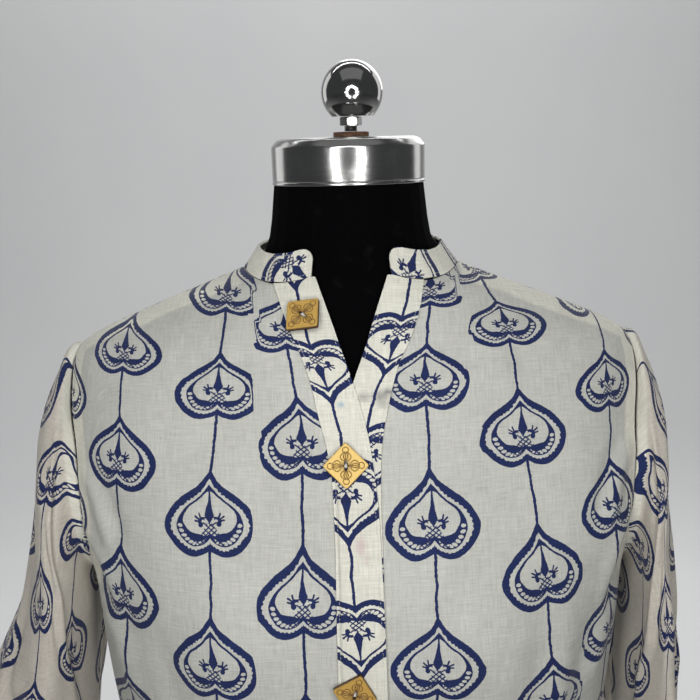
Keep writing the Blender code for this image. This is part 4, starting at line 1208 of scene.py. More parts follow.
def stitches(name, paths, material, length=0.0019, gap=0.0007, wide=0.00030, above=0.00008):
    """One mesh of short raised stitches along paths, each a pair of points and normals."""
    verts, faces = [], []
    for points, normals in paths:
        steps = np.linalg.norm(np.diff(points, axis=0), axis=1)
        run = np.concatenate(([0.0], np.cumsum(steps)))
        count = int(run[-1] / (length + gap))
        if count < 1:
            continue
        starts = (np.arange(count) + 0.3) * (run[-1] / count)
        places = starts[:, None] + np.array((0.0, 0.22, 0.78, 1.0)) * length
        at = np.stack([np.interp(places, run, points[:, k]) for k in range(3)], axis=-1)
        up = unit(np.stack([np.interp(places, run, normals[:, k]) for k in range(3)], axis=-1))
        way = unit(at[:, -1:] - at[:, :1])
        across = unit(np.cross(way, up))
        at = at + up * above
        ridge = at[:, 1:3] + up[:, 1:3] * wide * 0.45
        left = at[:, 1:3] + across[:, 1:3] * wide * 0.5
        right = at[:, 1:3] - across[:, 1:3] * wide * 0.5
        tips = at[:, (0, 3)] - up[:, (0, 3)] * wide * 0.5
        block = np.concatenate((tips, left, ridge, right), axis=1)
        base = len(verts) + np.arange(count)[:, None] * 8
        verts.extend(block.reshape(-1, 3).tolist())
        pattern = ((2, 4, 5, 3), (4, 6, 7, 5), (0, 4, 2), (0, 6, 4), (1, 3, 5), (1, 5, 7))
        for face in pattern:
            faces.extend((base + np.array(face)).tolist())
    mesh = bpy.data.meshes.new(name)
    mesh.from_pydata(verts, [], faces)
    mesh.update()
    mesh.materials.append(material)
    item = bpy.data.objects.new(name, mesh)
    cloth_group.objects.link(item)
    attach(item, "root")
    return item


def outward(points, centre):
    """Normals of a grid, turned away from centre."""
    normals = grid_normals(points)
    if np.einsum("ijk,ijk->", normals, points - np.asarray(centre)) < 0:
        normals = -normals
    return normals


def grid_path(points, normals, rows, columns):
    return sample(points, rows, columns), unit(sample(normals, rows, columns))


def panel_stitches(grids, material):
    paths = []
    for (side, place), (points, x, z, face) in grids.items():
        normals = outward(points, (0.0, 0.0, 1.1))
        columns = np.linspace(0.0, points.shape[1] - 1.0, 400)
        hem_row = np.interp(HEM_Z + HEM_DEPTH - 0.0016, z[:, 0], np.arange(len(z)))
        paths.append(grid_path(points, normals, np.full_like(columns, hem_row), columns))
        slit_rows = np.arange(len(z))[z[:, -1] < SLIT_TOP_Z].astype(float)
        arc = np.linalg.norm(np.diff(points, axis=1), axis=-1)
        from_edge = np.concatenate((np.cumsum(arc[:, ::-1], axis=1)[:, ::-1], np.zeros((len(z), 1))), axis=1)
        slit_columns = [
            np.interp(-(SLIT_HEM - 0.0012), -from_edge[int(k)], np.arange(points.shape[1]))
            for k in slit_rows
        ]
        paths.append(grid_path(points, normals, slit_rows, np.array(slit_columns)))
        first = len(low_heights()) - 1
        arm_rows = np.arange(first + 1, len(z) - 1).astype(float)
        arm_columns = [
            np.interp(-0.0022, -from_edge[int(k)], np.arange(points.shape[1])) for k in arm_rows
        ]
        paths.append(grid_path(points, normals, arm_rows, np.array(arm_columns)))
        if place == "front":
            ridge = np.arange(points.shape[1])[np.abs(x[-1]) > SHOULDER_NECK_X + 0.002]
            rows = []
            for k in ridge:
                run = np.linalg.norm(np.diff(points[-12:, k], axis=0), axis=-1)
                back = np.concatenate((np.cumsum(run[::-1])[::-1], [0.0]))
                rows.append(len(z) - 12 + np.interp(-0.0022, -back, np.arange(12)))
            paths.append(grid_path(points, normals, np.array(rows), ridge.astype(float)))
    stitches("panel_stitches", paths, material)


def band_stitches(bands, material):
    paths = []
    for name, (points, x, z) in bands.items():
        normals = outward(points, (0.0, 0.0, 1.1))
        rows = np.linspace(0.6, points.shape[0] - 1.2, 500)
        count = np.arange(x.shape[1])
        for inset in (0.0020, -0.0020):
            columns = []
            for row in rows:
                places = np.abs(sample(x[..., None], row, count)[:, 0] - sample(x[..., None], row, 0.0)[0])
                target = inset if inset > 0 else places[-1] + inset
                columns.append(np.interp(target, places, count))
            paths.append(grid_path(points, normals, rows, np.array(columns)))
        if name == "placket_top":
            columns = np.linspace(1.2, x.shape[1] - 2.2, 60)
            for row in (0.7, 12.0):
                paths.append(grid_path(points, normals, np.full_like(columns, row), columns))
            slant = np.linspace(0.7, 12.0, 60)
            paths.append(grid_path(points, normals, slant, columns))
            paths.append(grid_path(points, normals, slant[::-1], columns))
    stitches("band_stitches", paths, material)


def collar_stitches(collar, material):
    points, places, total = collar
    normals = outward(points, (0.0, 0.0, 1.39))
    count = points.shape[1]
    height = np.linalg.norm(np.diff(points, axis=0), axis=-1).sum(axis=0)
    columns = np.linspace(0.5, count - 1.5, 1200)
    tall = np.interp(columns, np.arange(count), height)
    low = 0.0022 / tall * COLLAR_ROWS
    high = COLLAR_ROWS * (1.0 - 0.0020 / tall)
    inner = (columns > 7) & (columns < count - 8)
    paths = [
        grid_path(points, normals, low[inner], columns[inner]),
        grid_path(points, normals, high[inner], columns[inner]),
    ]
    for edge in (places[0] + 0.0020, total - 0.0020):
        column = np.interp(edge, places, np.arange(count))
        rows = np.linspace(1.6, COLLAR_ROWS - 1.8, 30)
        paths.append(grid_path(points, normals, rows, np.full_like(rows, column)))
    stitches("collar_stitches", paths, material)


def sleeve_stitches(sleeves, material):
    paths = []
    for points, normals, place_x, place_z in sleeves.values():
        columns = np.linspace(0.0, points.shape[1] - 1.002, 500)
        row = np.interp(-(CUFF_DEPTH - 0.0016), -place_z[:, 0], np.arange(len(points)))
        paths.append(grid_path(points, normals, np.full_like(columns, row), columns))
    stitches("sleeve_stitches", paths, material)


def new_collection(name):
    found = bpy.data.collections.new(name)
    bpy.context.scene.collection.children.link(found)
    return found


class Field:
    """A number that varies over a surface. Arithmetic on it adds shader nodes."""

    def __init__(self, tree, socket):
        self.tree = tree
        self.socket = socket

    def math(self, operation, *others, clamp=False):
        node = self.tree.nodes.new("ShaderNodeMath")
        node.operation = operation
        node.use_clamp = clamp
        self.tree.links.new(self.socket, node.inputs[0])
        for value, socket in zip(others, list(node.inputs)[1:]):
            if isinstance(value, Field):
                self.tree.links.new(value.socket, socket)
            else:
                socket.default_value = value
        return Field(self.tree, node.outputs[0])

    def __add__(self, other):
        return self.math("ADD", other)

    def __sub__(self, other):
        return self.math("SUBTRACT", other)

    def __mul__(self, other):
        return self.math("MULTIPLY", other)

    def __truediv__(self, other):
        return self.math("DIVIDE", other)

    def __neg__(self):
        return self.math("MULTIPLY", -1.0)

    __radd__ = __add__
    __rmul__ = __mul__

    def __rsub__(self, other):
        return -self + other

    def abs(self):
        return self.math("ABSOLUTE")

    def step(self, low, high):
        """0 below low, 1 above high, smooth between."""
        node = self.tree.nodes.new("ShaderNodeMapRange")
        node.interpolation_type = "SMOOTHSTEP"
        self.tree.links.new(self.socket, node.inputs["Value"])
        node.inputs["From Min"].default_value = low
        node.inputs["From Max"].default_value = high
        return Field(self.tree, node.outputs["Result"])

    def curve(self, points, height):
        """A drawn curve from 0 to 1 across, its points given in the units of height."""
        node = self.tree.nodes.new("ShaderNodeFloatCurve")
        line = node.mapping.curves[0]
        for k, (across, up) in enumerate(points):
            if k == 0 or k == len(points) - 1:
                line.points[0 if k == 0 else -1].location = (across, up / height)
            else:
                line.points.new(across, up / height)
        node.mapping.update()
        self.tree.links.new(self.socket, node.inputs["Value"])
        return Field(self.tree, node.outputs["Value"]) * height


def smallest(first, *rest):
    for other in rest:
        first = first.math("MINIMUM", other)
    return first


def largest(first, *rest):
    for other in rest:
        first = first.math("MAXIMUM", other)
    return first


def length_of(x, y):
    return (x * x + y * y).math("SQRT")


def combine(x, y):
    node = x.tree.nodes.new("ShaderNodeCombineXYZ")
    x.tree.links.new(x.socket, node.inputs["X"])
    x.tree.links.new(y.socket, node.inputs["Y"])
    return node.outputs["Vector"]


def split(tree, socket):
    node = tree.nodes.new("ShaderNodeSeparateXYZ")
    tree.links.new(socket, node.inputs[0])
    return [Field(tree, node.outputs[k]) for k in range(3)]


def noise(tree, vector, scale=1.0, detail=2.0, roughness=0.5):
    node = tree.nodes.new("ShaderNodeTexNoise")
    tree.links.new(vector, node.inputs["Vector"])
    node.inputs["Scale"].default_value = scale
    node.inputs["Detail"].default_value = detail
    node.inputs["Roughness"].default_value = roughness
    return node


def noise_field(tree, vector, scale=1.0, detail=2.0, roughness=0.5):
    return Field(tree, noise(tree, vector, scale, detail, roughness).outputs[0])


def stretched_noise(tree, vector, across, up, detail=1.0):
    """Noise drawn out into threads: waves a metre across and up."""
    node = tree.nodes.new("ShaderNodeMapping")
    tree.links.new(vector, node.inputs["Vector"])
    node.inputs["Scale"].default_value = (across, up, 1.0)
    return noise_field(tree, node.outputs["Vector"], 1.0, detail)


def blend_colour(tree, factor, low, high, mode="MIX"):
    """A colour between two, each a colour or a socket."""
    node = tree.nodes.new("ShaderNodeMix")
    node.data_type = "RGBA"
    node.blend_type = mode
    if isinstance(factor, Field):
        tree.links.new(factor.socket, node.inputs["Factor"])
    else:
        node.inputs["Factor"].default_value = factor
    for value, key in ((low, 6), (high, 7)):
        if isinstance(value, tuple):
            node.inputs[key].default_value = (*value, 1.0)
        else:
            tree.links.new(value, node.inputs[key])
    return node.outputs[2]


def brightness(tree, colour, factor):
    """A colour times a field."""
    node = tree.nodes.new("ShaderNodeVectorMath")
    node.operation = "SCALE"
    tree.links.new(colour, node.inputs[0])
    tree.links.new(factor.socket, node.inputs["Scale"])
    return node.outputs[0]


def bump(tree, height, distance, strength=1.0, under=None):
    node = tree.nodes.new("ShaderNodeBump")
    node.inputs["Strength"].default_value = strength
    node.inputs["Distance"].default_value = distance
    tree.links.new(height.socket, node.inputs["Height"])
    if under is not None:
        tree.links.new(under, node.inputs["Normal"])
    return node.outputs["Normal"]


def attribute(tree, name):
    node = tree.nodes.new("ShaderNodeAttribute")
    node.attribute_name = name
    return Field(tree, node.outputs["Fac"])


def uv_map(tree, name):
    node = tree.nodes.new("ShaderNodeUVMap")
    node.uv_map = name
    return node.outputs["UV"]


def object_place(tree):
    return tree.nodes.new("ShaderNodeTexCoord").outputs["Object"]


def new_material(name):
    material = bpy.data.materials.new(name)
    material.use_nodes = True
    tree = material.node_tree
    return material, tree, tree.nodes["Principled BSDF"]


# The printed motif in millimetres from its middle: angle from the tip in half turns, and radius
LEAF = (
    (0.0, 40.0), (0.012, 37.6), (0.035, 34.0), (0.073, 30.8), (0.146, 28.6), (0.28, 29.2),
    (0.381, 31.4), (0.47, 33.0), (0.524, 32.6), (0.605, 29.8), (0.712, 26.6), (0.809, 23.4),
    (0.894, 19.3), (0.96, 16.4), (1.0, 15.1),
)
INNER_LEAF = (
    (0.0, 29.2), (0.043, 25.6), (0.10, 22.6), (0.173, 21.3), (0.25, 21.5), (0.328, 22.3),
    (0.44, 23.7), (0.505, 23.8), (0.60, 21.9), (0.72, 19.0), (0.80, 15.8), (0.874, 12.2),
    (0.94, 9.0), (1.0, 7.0),
)
CRESCENT = (
    (0.0, 24.8), (0.043, 23.3), (0.10, 20.9), (0.173, 19.8), (0.25, 19.9), (0.328, 20.3),
    (0.40, 20.0), (0.44, 19.2), (0.49, 17.2), (0.553, 15.0), (0.60, 12.2), (0.64, 9.6),
    (0.70, 7.6), (0.80, 6.6), (1.0, 3.0),
)
PRINT_NARROW = 1.065  # the motif is a little narrower than drawn


def stroke(x, y, start, stop, width):
    """How far inside a straight stroke of half this width."""
    way = (stop[0] - start[0], stop[1] - start[1])
    span = way[0] ** 2 + way[1] ** 2
    dx, dy = x - start[0], y - start[1]
    run = ((dx * way[0] + dy * way[1]) / span).math("MINIMUM", 1.0).math("MAXIMUM", 0.0)
    return width - length_of(dx - run * way[0], dy - run * way[1])


def bird_head(y, side):
    """One of the two heads: a crest of three prongs, a cheek and a pale eye, and its brow."""
    head = (1.0 - length_of((side - 6.0) / 2.6, (y - 4.6 + (side - 6.0) * 0.25) / 2.3)) * 2.2
    cheek = 1.75 - length_of(side - 6.7, y - 2.0)
    eye = (1.0 - length_of((side - 4.6) / 1.3, (y - 4.2) / 0.85)) * 1.0
    first = stroke(side, y, (6.4, 5.6), (7.4, 9.2), 0.62)
    second = stroke(side, y, (7.2, 5.2), (10.2, 7.4), 0.62)
    third = stroke(side, y, (7.4, 4.2), (10.4, 4.8), 0.62)
    brow = stroke(side, y, (5.0, 6.4), (2.4, 6.6), 0.55)
    nape = stroke(side, y, (2.4, 6.6), (0.0, 3.2), 0.55)
    throat = stroke(side, y, (4.6, 3.0), (1.8, 1.0), 0.50)
    return largest(smallest(largest(head, cheek), -eye), first, second, third, brow, nape, throat)


def necks(x, y, side, inside):
    """Two crossed necks, covered in pale scales."""
    wide = 2.6 + (2.2 - y) * 0.60
    body = smallest(wide - side, 3.0 - y - side * 0.25, inside)
    first = ((x * 0.62 - y * 0.78) / 2.55 + 0.25).math("FRACT")
    second = ((x * 0.62 + y * 0.78) / 2.55 + 0.25).math("FRACT")
    scale = smallest(0.315 - (first - 0.5).abs(), 0.325 - (second - 0.5).abs()) * 2.5
    return smallest(body, -scale)


def nearest_motif(u, v):
    """Place from the nearest motif's middle, in a pattern of staggered columns."""
    first_x = u - (u / (PRINT_ACROSS * 2.0) + 0.5).math("FLOOR") * (PRINT_ACROSS * 2.0)
    first_y = v - (v / PRINT_UP + 0.5).math("FLOOR") * PRINT_UP
    u, v = u - PRINT_ACROSS, v - PRINT_UP / 2.0
    second_x = u - (u / (PRINT_ACROSS * 2.0) + 0.5).math("FLOOR") * (PRINT_ACROSS * 2.0)
    second_y = v - (v / PRINT_UP + 0.5).math("FLOOR") * PRINT_UP
    pick = length_of(second_x, second_y).math("LESS_THAN", length_of(first_x, first_y))
    x = first_x + (second_x - first_x) * pick
    y = first_y + (second_y - first_y) * pick
    return x, y


def print_group():
    """How much ink lies at a place on the print."""
    tree = bpy.data.node_groups.new("block_print", "ShaderNodeTree")
    tree.interface.new_socket("Place", in_out="INPUT", socket_type="NodeSocketVector")
    tree.interface.new_socket("Ink", in_out="OUTPUT", socket_type="NodeSocketFloat")
    place = tree.nodes.new("NodeGroupInput").outputs["Place"]
    u, v, _ = split(tree, place)
    x, y = nearest_motif(u, v)
    # Each press of the block lands a little differently
    column = ((u - x) / PRINT_ACROSS + 0.5).math("FLOOR")
    row = ((v - y) / (PRINT_UP / 2.0) + 0.5).math("FLOOR")
    hand = tree.nodes.new("ShaderNodeTexWhiteNoise")
    hand.noise_dimensions = "2D"
    tree.links.new(combine(column, row), hand.inputs["Vector"])
    aside, up, turn = split(tree, hand.outputs["Color"])
    x, y = x * 1000.0, y * 1000.0
    settled = 1.0 - y.abs().step(34.0, 45.0)
    slow_x, slow_y, _ = split(tree, noise(tree, place, 70.0, 1.0).outputs["Color"])
    fine_x, fine_y, rough = split(tree, noise(tree, place, 430.0, 1.0).outputs["Color"])
    turn = (turn - 0.5) * settled * 0.06
    x, y = x + y * turn, y - x * turn
    x = x + (aside - 0.5) * settled * 0.6 + (slow_x - 0.5) * 2.0 + (fine_x - 0.5) * 0.6
    y = y + (up - 0.5) * settled * 0.6 + (slow_y - 0.5) * 2.0 + (fine_y - 0.5) * 0.6
    x = x * PRINT_NARROW
    side = x.abs()
    radius = length_of(x, y)
    angle = side.math("ARCTAN2", y) / pi
    outer = angle.curve(LEAF, 40.0)
    inner = angle.curve(INNER_LEAF, 40.0)
    hollow = angle.curve(CRESCENT, 40.0)
    scallop = (angle * 150.0 + rough * 4.0).math("SINE") * 0.35 + (rough - 0.5) * 1.5
    tip = (1.0 - angle / 0.05).math("MAXIMUM", 0.0) * 1.8
    band = smallest(outer - radius, radius - outer + scallop + tip + 5.0)
    stem = 1.05 + (rough - 0.5) * 0.9 - side
    stem = smallest(stem, largest(y - 34.0, -13.0 - y))
    inside = inner - radius
    beads = angle * 180.0
    along = (((beads - 5.0) / 9.6).math("FRACT") - 0.5) * radius * 0.168
    bead = (1.0 - length_of(along / 1.22, (inside - 2.75) / 1.75)) * 1.3
    bead = smallest(bead, (beads - 82.0) * 0.3, (158.0 - beads) * 0.3)
    crescent = smallest(inside, radius - hollow, -bead)
    fall = (25.0 - y).math("MAXIMUM", 0.0)
    drop = smallest(0.65 + fall * fall * 0.0097 - side, (y - 3.4) * 0.80 - side, inside - 0.4)
    shape = largest(
        band,
        stem,
        crescent,
        drop,
        bird_head(y, side),
        necks(x, y, side, inside - 0.2),
    )
    # Ink misses the lowest threads here and there
    flaws = noise_field(tree, place, 1500.0, 2.0, 0.7).step(0.64, 0.78)
    ink = shape.step(-0.18, 0.18) * (1.0 - flaws * 0.5)
    output = tree.nodes.new("NodeGroupOutput")
    tree.links.new(ink.socket, output.inputs["Ink"])
    return tree


def cotton_material():
    """Off-white slub cotton with the blue block print. Single cloth over the form is painted greyer: painted
    shade of the black form showing through, which the empty sleeves and double cloth lack.
    """
    material, tree, shader = new_material("block_printed_cotton")
    cut = uv_map(tree, "Cut")
    warp = stretched_noise(tree, cut, 1300.0, 80.0)
    weft = stretched_noise(tree, cut, 80.0, 1300.0)
    slub_up = stretched_noise(tree, cut, 420.0, 34.0)
    slub_across = stretched_noise(tree, cut, 34.0, 420.0)
    cloud = noise_field(tree, cut, 17.0, 4.0, 0.6)
    double = attribute(tree, "double")
    sleeve = attribute(tree, "sleeve")
    # Painted shade: single cloth over the black form gets a greyer colour for the form showing through, the
    # sleeves and double cloth get lighter ones
    cloth = blend_colour(tree, sleeve, SINGLE_PAINTED_SHADE_COLOUR, SLEEVE_COLOUR)
    cloth = blend_colour(tree, double, cloth, DOUBLE_COLOUR)
    threads = 1.0 + (warp - 0.5) * 0.36 + (weft - 0.5) * 0.38
    threads = threads + (slub_up - 0.5) * 0.15 + (slub_across - 0.5) * 0.13
    cloth = brightness(tree, cloth, threads + (cloud - 0.5) * 0.30)
    grey = attribute(tree, "smudge") * (0.45 + noise_field(tree, cut, 330.0, 3.0))
    cloth = blend_colour(tree, grey.math("MINIMUM", 0.85), cloth, (0.20, 0.19, 0.19))
    cloth = blend_colour(tree, attribute(tree, "blue_dot"), cloth, (0.22, 0.38, 0.50))
    cloth = blend_colour(tree, attribute(tree, "pink_stain"), cloth, (0.52, 0.34, 0.36))
    fleck = tree.nodes.new("ShaderNodeTexVoronoi")
    fleck.inputs["Scale"].default_value = 46.0
    tree.links.new(cut, fleck.inputs["Vector"])
    chance, _, _ = split(tree, fleck.outputs["Color"])
    speck = (0.017 - Field(tree, fleck.outputs["Distance"])).step(0.0, 0.006)
    speck = speck * chance.step(0.80, 0.81)
    printed = tree.nodes.new("ShaderNodeGroup")
    printed.node_tree = print_group()
    tree.links.new(uv_map(tree, "Print"), printed.inputs["Place"])
    ink = largest(Field(tree, printed.outputs["Ink"]), speck * 0.8)
    blue = brightness(tree, blend_colour(tree, cloud, INK_DEEP, INK_PALE), 0.5 + weft + warp * 0.3)
    colour = blend_colour(tree, ink, cloth, blue)
    tree.links.new(colour, shader.inputs["Base Color"])
    rough = 0.80 + weft * 0.12 - ink * 0.06
    tree.links.new(rough.socket, shader.inputs["Roughness"])
    shader.inputs["Sheen Weight"].default_value = 0.12
    shader.inputs["Sheen Roughness"].default_value = 0.4
    shader.inputs["Specular IOR Level"].default_value = 0.25
    over, along, _ = split(tree, cut)
    weave = (over * (2.0 * pi / 0.00048)).math("SINE") * (along * (2.0 * pi / 0.00048)).math("SINE")
    normal = bump(tree, warp + weft + slub_up + slub_across + weave * 0.25, 0.00016, 0.7)
    normal = bump(tree, noise_field(tree, cut, 60.0, 2.0), 0.0012, 0.35, normal)
    tree.links.new(normal, shader.inputs["Normal"])
    return material


# Cloth colours: single cloth over the form carries painted shade of the black form showing through; the
# sleeves and double cloth are lighter
SINGLE_PAINTED_SHADE_COLOUR = (0.520, 0.522, 0.478)
SLEEVE_COLOUR = (0.575, 0.535, 0.465)
DOUBLE_COLOUR = (0.700, 0.690, 0.600)
INK_DEEP = (0.0060, 0.0120, 0.055)
INK_PALE = (0.0130, 0.0240, 0.100)


def thread_material(name, colour, dark):
    """Twisted thread."""
    material, tree, shader = new_material(name)
    place = object_place(tree)
    twist = noise_field(tree, place, 900.0, 2.0)
    tree.links.new(blend_colour(tree, twist, dark, colour), shader.inputs["Base Color"])
    tree.links.new((0.7 + twist * 0.2).socket, shader.inputs["Roughness"])
    tree.links.new(bump(tree, twist, 0.0001, 0.5), shader.inputs["Normal"])
    return material


def wood_material():
    """Golden varnished face with burnt lines, over sides and slot walls with painted shade in near-black
    brown.
    """
    material, tree, shader = new_material("button_wood")
    face = uv_map(tree, "Face")
    grain = stretched_noise(tree, face, 260.0, 2600.0, 3.0)
    pores = stretched_noise(tree, face, 900.0, 7000.0, 2.0)
    tone = attribute(tree, "tone")
    gold = blend_colour(tree, tone, (0.42, 0.235, 0.040), (0.83, 0.56, 0.150))
    gold = brightness(tree, gold, 0.78 + grain * 0.30 + pores * 0.12)
    burnt = attribute(tree, "burnt") * (0.80 + grain * 0.35)
    colour = blend_colour(tree, burnt.math("MINIMUM", 1.0), gold, (0.110, 0.045, 0.010))
    # Painted shade: the sides and the slot's walls go near-black brown below the face
    edge = attribute(tree, "edge") * (0.75 + pores * 0.4)
    colour = blend_colour(tree, edge.math("MINIMUM", 1.0), colour, (0.050, 0.016, 0.006))
    tree.links.new(colour, shader.inputs["Base Color"])
    tree.links.new((0.38 + grain * 0.2 + burnt * 0.25).socket, shader.inputs["Roughness"])
    tree.links.new(bump(tree, grain + pores * 0.5, 0.00012, 0.6), shader.inputs["Normal"])
    return material


def metal_material(name, dark, light, rough, wear, scratch):
    """Bright metal with a faint colour change, dull patches and fine scratches round it."""
    material, tree, shader = new_material(name)
    place = object_place(tree)
    patch = noise_field(tree, place, 38.0, 4.0, 0.6)
    lines = stretched_noise(tree, place, 60.0, 60.0, 2.0)
    node = tree.nodes.new("ShaderNodeMapping")
    tree.links.new(place, node.inputs["Vector"])
    node.inputs["Scale"].default_value = (70.0, 70.0, 4200.0)
    brushed = noise_field(tree, node.outputs["Vector"], 1.0, 2.0)
    tree.links.new(blend_colour(tree, patch, dark, light), shader.inputs["Base Color"])
    dull = patch.step(0.52, 0.75) * wear + (lines - 0.4) * 0.04
    tree.links.new((dull + brushed * scratch + rough).socket, shader.inputs["Roughness"])
    shader.inputs["Metallic"].default_value = 1.0
    normal = bump(tree, brushed, 0.00003, 0.5)
    tree.links.new(bump(tree, patch, 0.0005, 0.25, normal), shader.inputs["Normal"])
    return material


def rust_material():
    material, tree, shader = new_material("rusty_washer")
    place = object_place(tree)
    patch = noise_field(tree, place, 260.0, 5.0, 0.65)
    spots = noise_field(tree, place, 900.0, 3.0)
    colour = blend_colour(tree, patch.step(0.35, 0.65), (0.24, 0.13, 0.075), (0.090, 0.040, 0.022))
    colour = blend_colour(tree, spots.step(0.62, 0.74), colour, (0.42, 0.38, 0.33))
    tree.links.new(colour, shader.inputs["Base Color"])
    tree.links.new((0.55 + patch * 0.35).socket, shader.inputs["Roughness"])
    shader.inputs["Metallic"].default_value = 0.55
    tree.links.new(bump(tree, patch + spots * 0.5, 0.0005, 0.8), shader.inputs["Normal"])
    return material


def jersey_material():
    """Matt black knit."""
    material, tree, shader = new_material("form_jersey")
    place = object_place(tree)
    x, y, z = split(tree, place)
    wale = ((x + y) * (2.0 * pi / 0.0011)).math("SINE") * (z * (2.0 * pi / 0.0008)).math("SINE")
    fluff = noise_field(tree, place, 700.0, 3.0)
    dust = noise_field(tree, place, 60.0, 3.0).step(0.60, 0.85)
    colour = blend_colour(tree, fluff, (0.0010, 0.0010, 0.0013), (0.0030, 0.0030, 0.0035))
    colour = blend_colour(tree, dust * 0.4, colour, (0.013, 0.013, 0.014))
    tree.links.new(colour, shader.inputs["Base Color"])
    tree.links.new((0.88 + fluff * 0.1).socket, shader.inputs["Roughness"])
    shader.inputs["Specular IOR Level"].default_value = 0.02
    shader.inputs["Sheen Weight"].default_value = 0.003
    tree.links.new(bump(tree, wale * 0.5 + fluff, 0.0002, 0.7), shader.inputs["Normal"])
    return material


def paint_material():
    """Black stand paint with a slight orange peel, dust and scuffed edges."""
    material, tree, shader = new_material("stand_paint")
    place = object_place(tree)
    peel = noise_field(tree, place, 420.0, 2.0)
    dust = noise_field(tree, place, 16.0, 4.0).step(0.45, 0.80)
    scuff = noise_field(tree, place, 150.0, 4.0, 0.7).step(0.66, 0.76)
    colour = blend_colour(tree, dust * 0.5, (0.012, 0.012, 0.013), (0.055, 0.053, 0.050))
    colour = blend_colour(tree, scuff * 0.5, colour, (0.11, 0.11, 0.11))
    tree.links.new(colour, shader.inputs["Base Color"])
    tree.links.new((0.32 + dust * 0.25 + scuff * 0.2).socket, shader.inputs["Roughness"])
    tree.links.new(bump(tree, peel, 0.0002, 0.4), shader.inputs["Normal"])
    return material


def floor_material():
    material, tree, shader = new_material("studio_floor")
    cloud = noise_field(tree, object_place(tree), 1.3, 3.0)
    colour = blend_colour(tree, cloud, (0.60, 0.605, 0.61), (0.66, 0.66, 0.66))
    tree.links.new(colour, shader.inputs["Base Color"])
    shader.inputs["Roughness"].default_value = 0.85
    return material


def make_camera():
    data = bpy.data.cameras.new("camera")
    data.sensor_width = 36.0
    data.lens = CAMERA_LENS
    camera = bpy.data.objects.new("camera", data)
    bpy.context.scene.collection.objects.link(camera)
    tilt = Matrix.Rotation(radians(90.0 - CAMERA_DOWN_DEGREES), 4, "X")
    roll = Matrix.Rotation(radians(CAMERA_ROLL_DEGREES), 4, "Z")
    camera.matrix_world = Matrix.Translation(CAMERA_PLACE) @ tilt @ roll
    bpy.context.scene.camera = camera


def make_light(name, place, aim, size, power, colour=(1.0, 1.0, 1.0)):
    data = bpy.data.lights.new(name, "AREA")
    data.shape = "RECTANGLE"
    data.size, data.size_y = size
    data.energy = power
    data.color = colour
    lamp = bpy.data.objects.new(name, data)
    bpy.context.scene.collection.objects.link(lamp)
    way = Vector(aim) - Vector(place)
    lamp.matrix_world = Matrix.Translation(place) @ way.to_track_quat("-Z", "Y").to_matrix().to_4x4()
    return lamp


def make_studio():
    """A pale floor that curves up behind, a ring of soft lights in front and large side lights."""
    mesh = bpy.data.meshes.new("studio_floor")
    reach, back, height, bend = 9.0, 5.0, 7.0, 2.0
    verts, faces = [], []
    outline = [(-reach, 0.0), (back - bend, 0.0)]
    for k in range(1, 13):
        turn = pi / 2.0 * k / 12
        outline.append((back - bend + bend * sin(turn), bend - bend * cos(turn)))
    outline.append((back, height))
    for y, z in outline:
        verts += [(-reach, y, z - 0.0005), (reach, y, z - 0.0005)]
    for k in range(len(outline) - 1):
        faces.append((2 * k, 2 * k + 1, 2 * k + 3, 2 * k + 2))
    mesh.from_pydata(verts, [], faces)
    mesh.shade_smooth()
    mesh.materials.append(floor_material())
    floor = bpy.data.objects.new("studio_floor", mesh)
    bpy.context.scene.collection.objects.link(floor)
    # A ring lamp round the camera, open at its foot
    for k in range(11):
        turn = 2.0 * pi * (k + 1) / 12 - pi / 2.0
        place = (-0.002 + 0.27 * cos(turn), -0.78, 1.475 + 0.27 * sin(turn))
        aim = (place[0] * 0.4, 0.0, 1.33 + (place[2] - 1.475) * 0.4)
        make_light(f"ring_lamp_{k + 1}", place, aim, (0.125, 0.045), 0.54)
    make_light("left_window", (-2.2, 1.5, 2.0), (0.0, 0.0, 1.2), (1.2, 2.4), 11.0)
    make_light("right_window", (2.3, 1.6, 2.0), (0.0, 0.0, 1.2), (1.0, 2.4), 9.0)
    make_light("top_panel", (0.0, -0.9, 3.6), (0.0, 0.0, 1.2), (3.0, 2.0), 4.5)
    make_light("back_panel", (0.8, 2.6, 2.6), (0.0, 0.0, 1.1), (2.4, 2.0), 26.0)
    make_light("backdrop_light", (0.0, 1.6, 4.2), (0.0, 4.8, 1.3), (5.0, 1.0), 150.0)
    world = bpy.data.worlds.new("studio")
    world.use_nodes = True
    world.node_tree.nodes["Background"].inputs["Color"].default_value = (0.80, 0.82, 0.86, 1.0)
    world.node_tree.nodes["Background"].inputs["Strength"].default_value = 0.10
    bpy.context.scene.world = world
    bpy.context.scene.view_settings.view_transform = "Standard"


def solid_piece(name, points, closed_across=True, material=None, ends=True):
    """A mesh through rings of points, each ring closed, with its two ends filled."""
    rows, columns = points.shape[:2]
    index = np.arange(rows * columns).reshape(rows, columns)
    after = np.roll(index, -1, axis=1)
    quads = np.stack((index[:-1], after[:-1], after[1:], index[1:]), axis=-1).reshape(-1, 4)
    faces = quads.tolist()
    if ends:
        faces += [index[0][::-1].tolist(), index[-1].tolist()]
    mesh = bpy.data.meshes.new(name)
    mesh.from_pydata(points.reshape(-1, 3).tolist(), [], faces)
    bm = bmesh.new()
    bm.from_mesh(mesh)
    bmesh.ops.recalc_face_normals(bm, faces=bm.faces)
    bm.to_mesh(mesh)
    bm.free()
    mesh.shade_smooth()
    mesh.set_sharp_from_angle(angle=radians(38))
    mesh.materials.append(material)
    item = bpy.data.objects.new(name, mesh)
    fittings_group.objects.link(item)
    return item


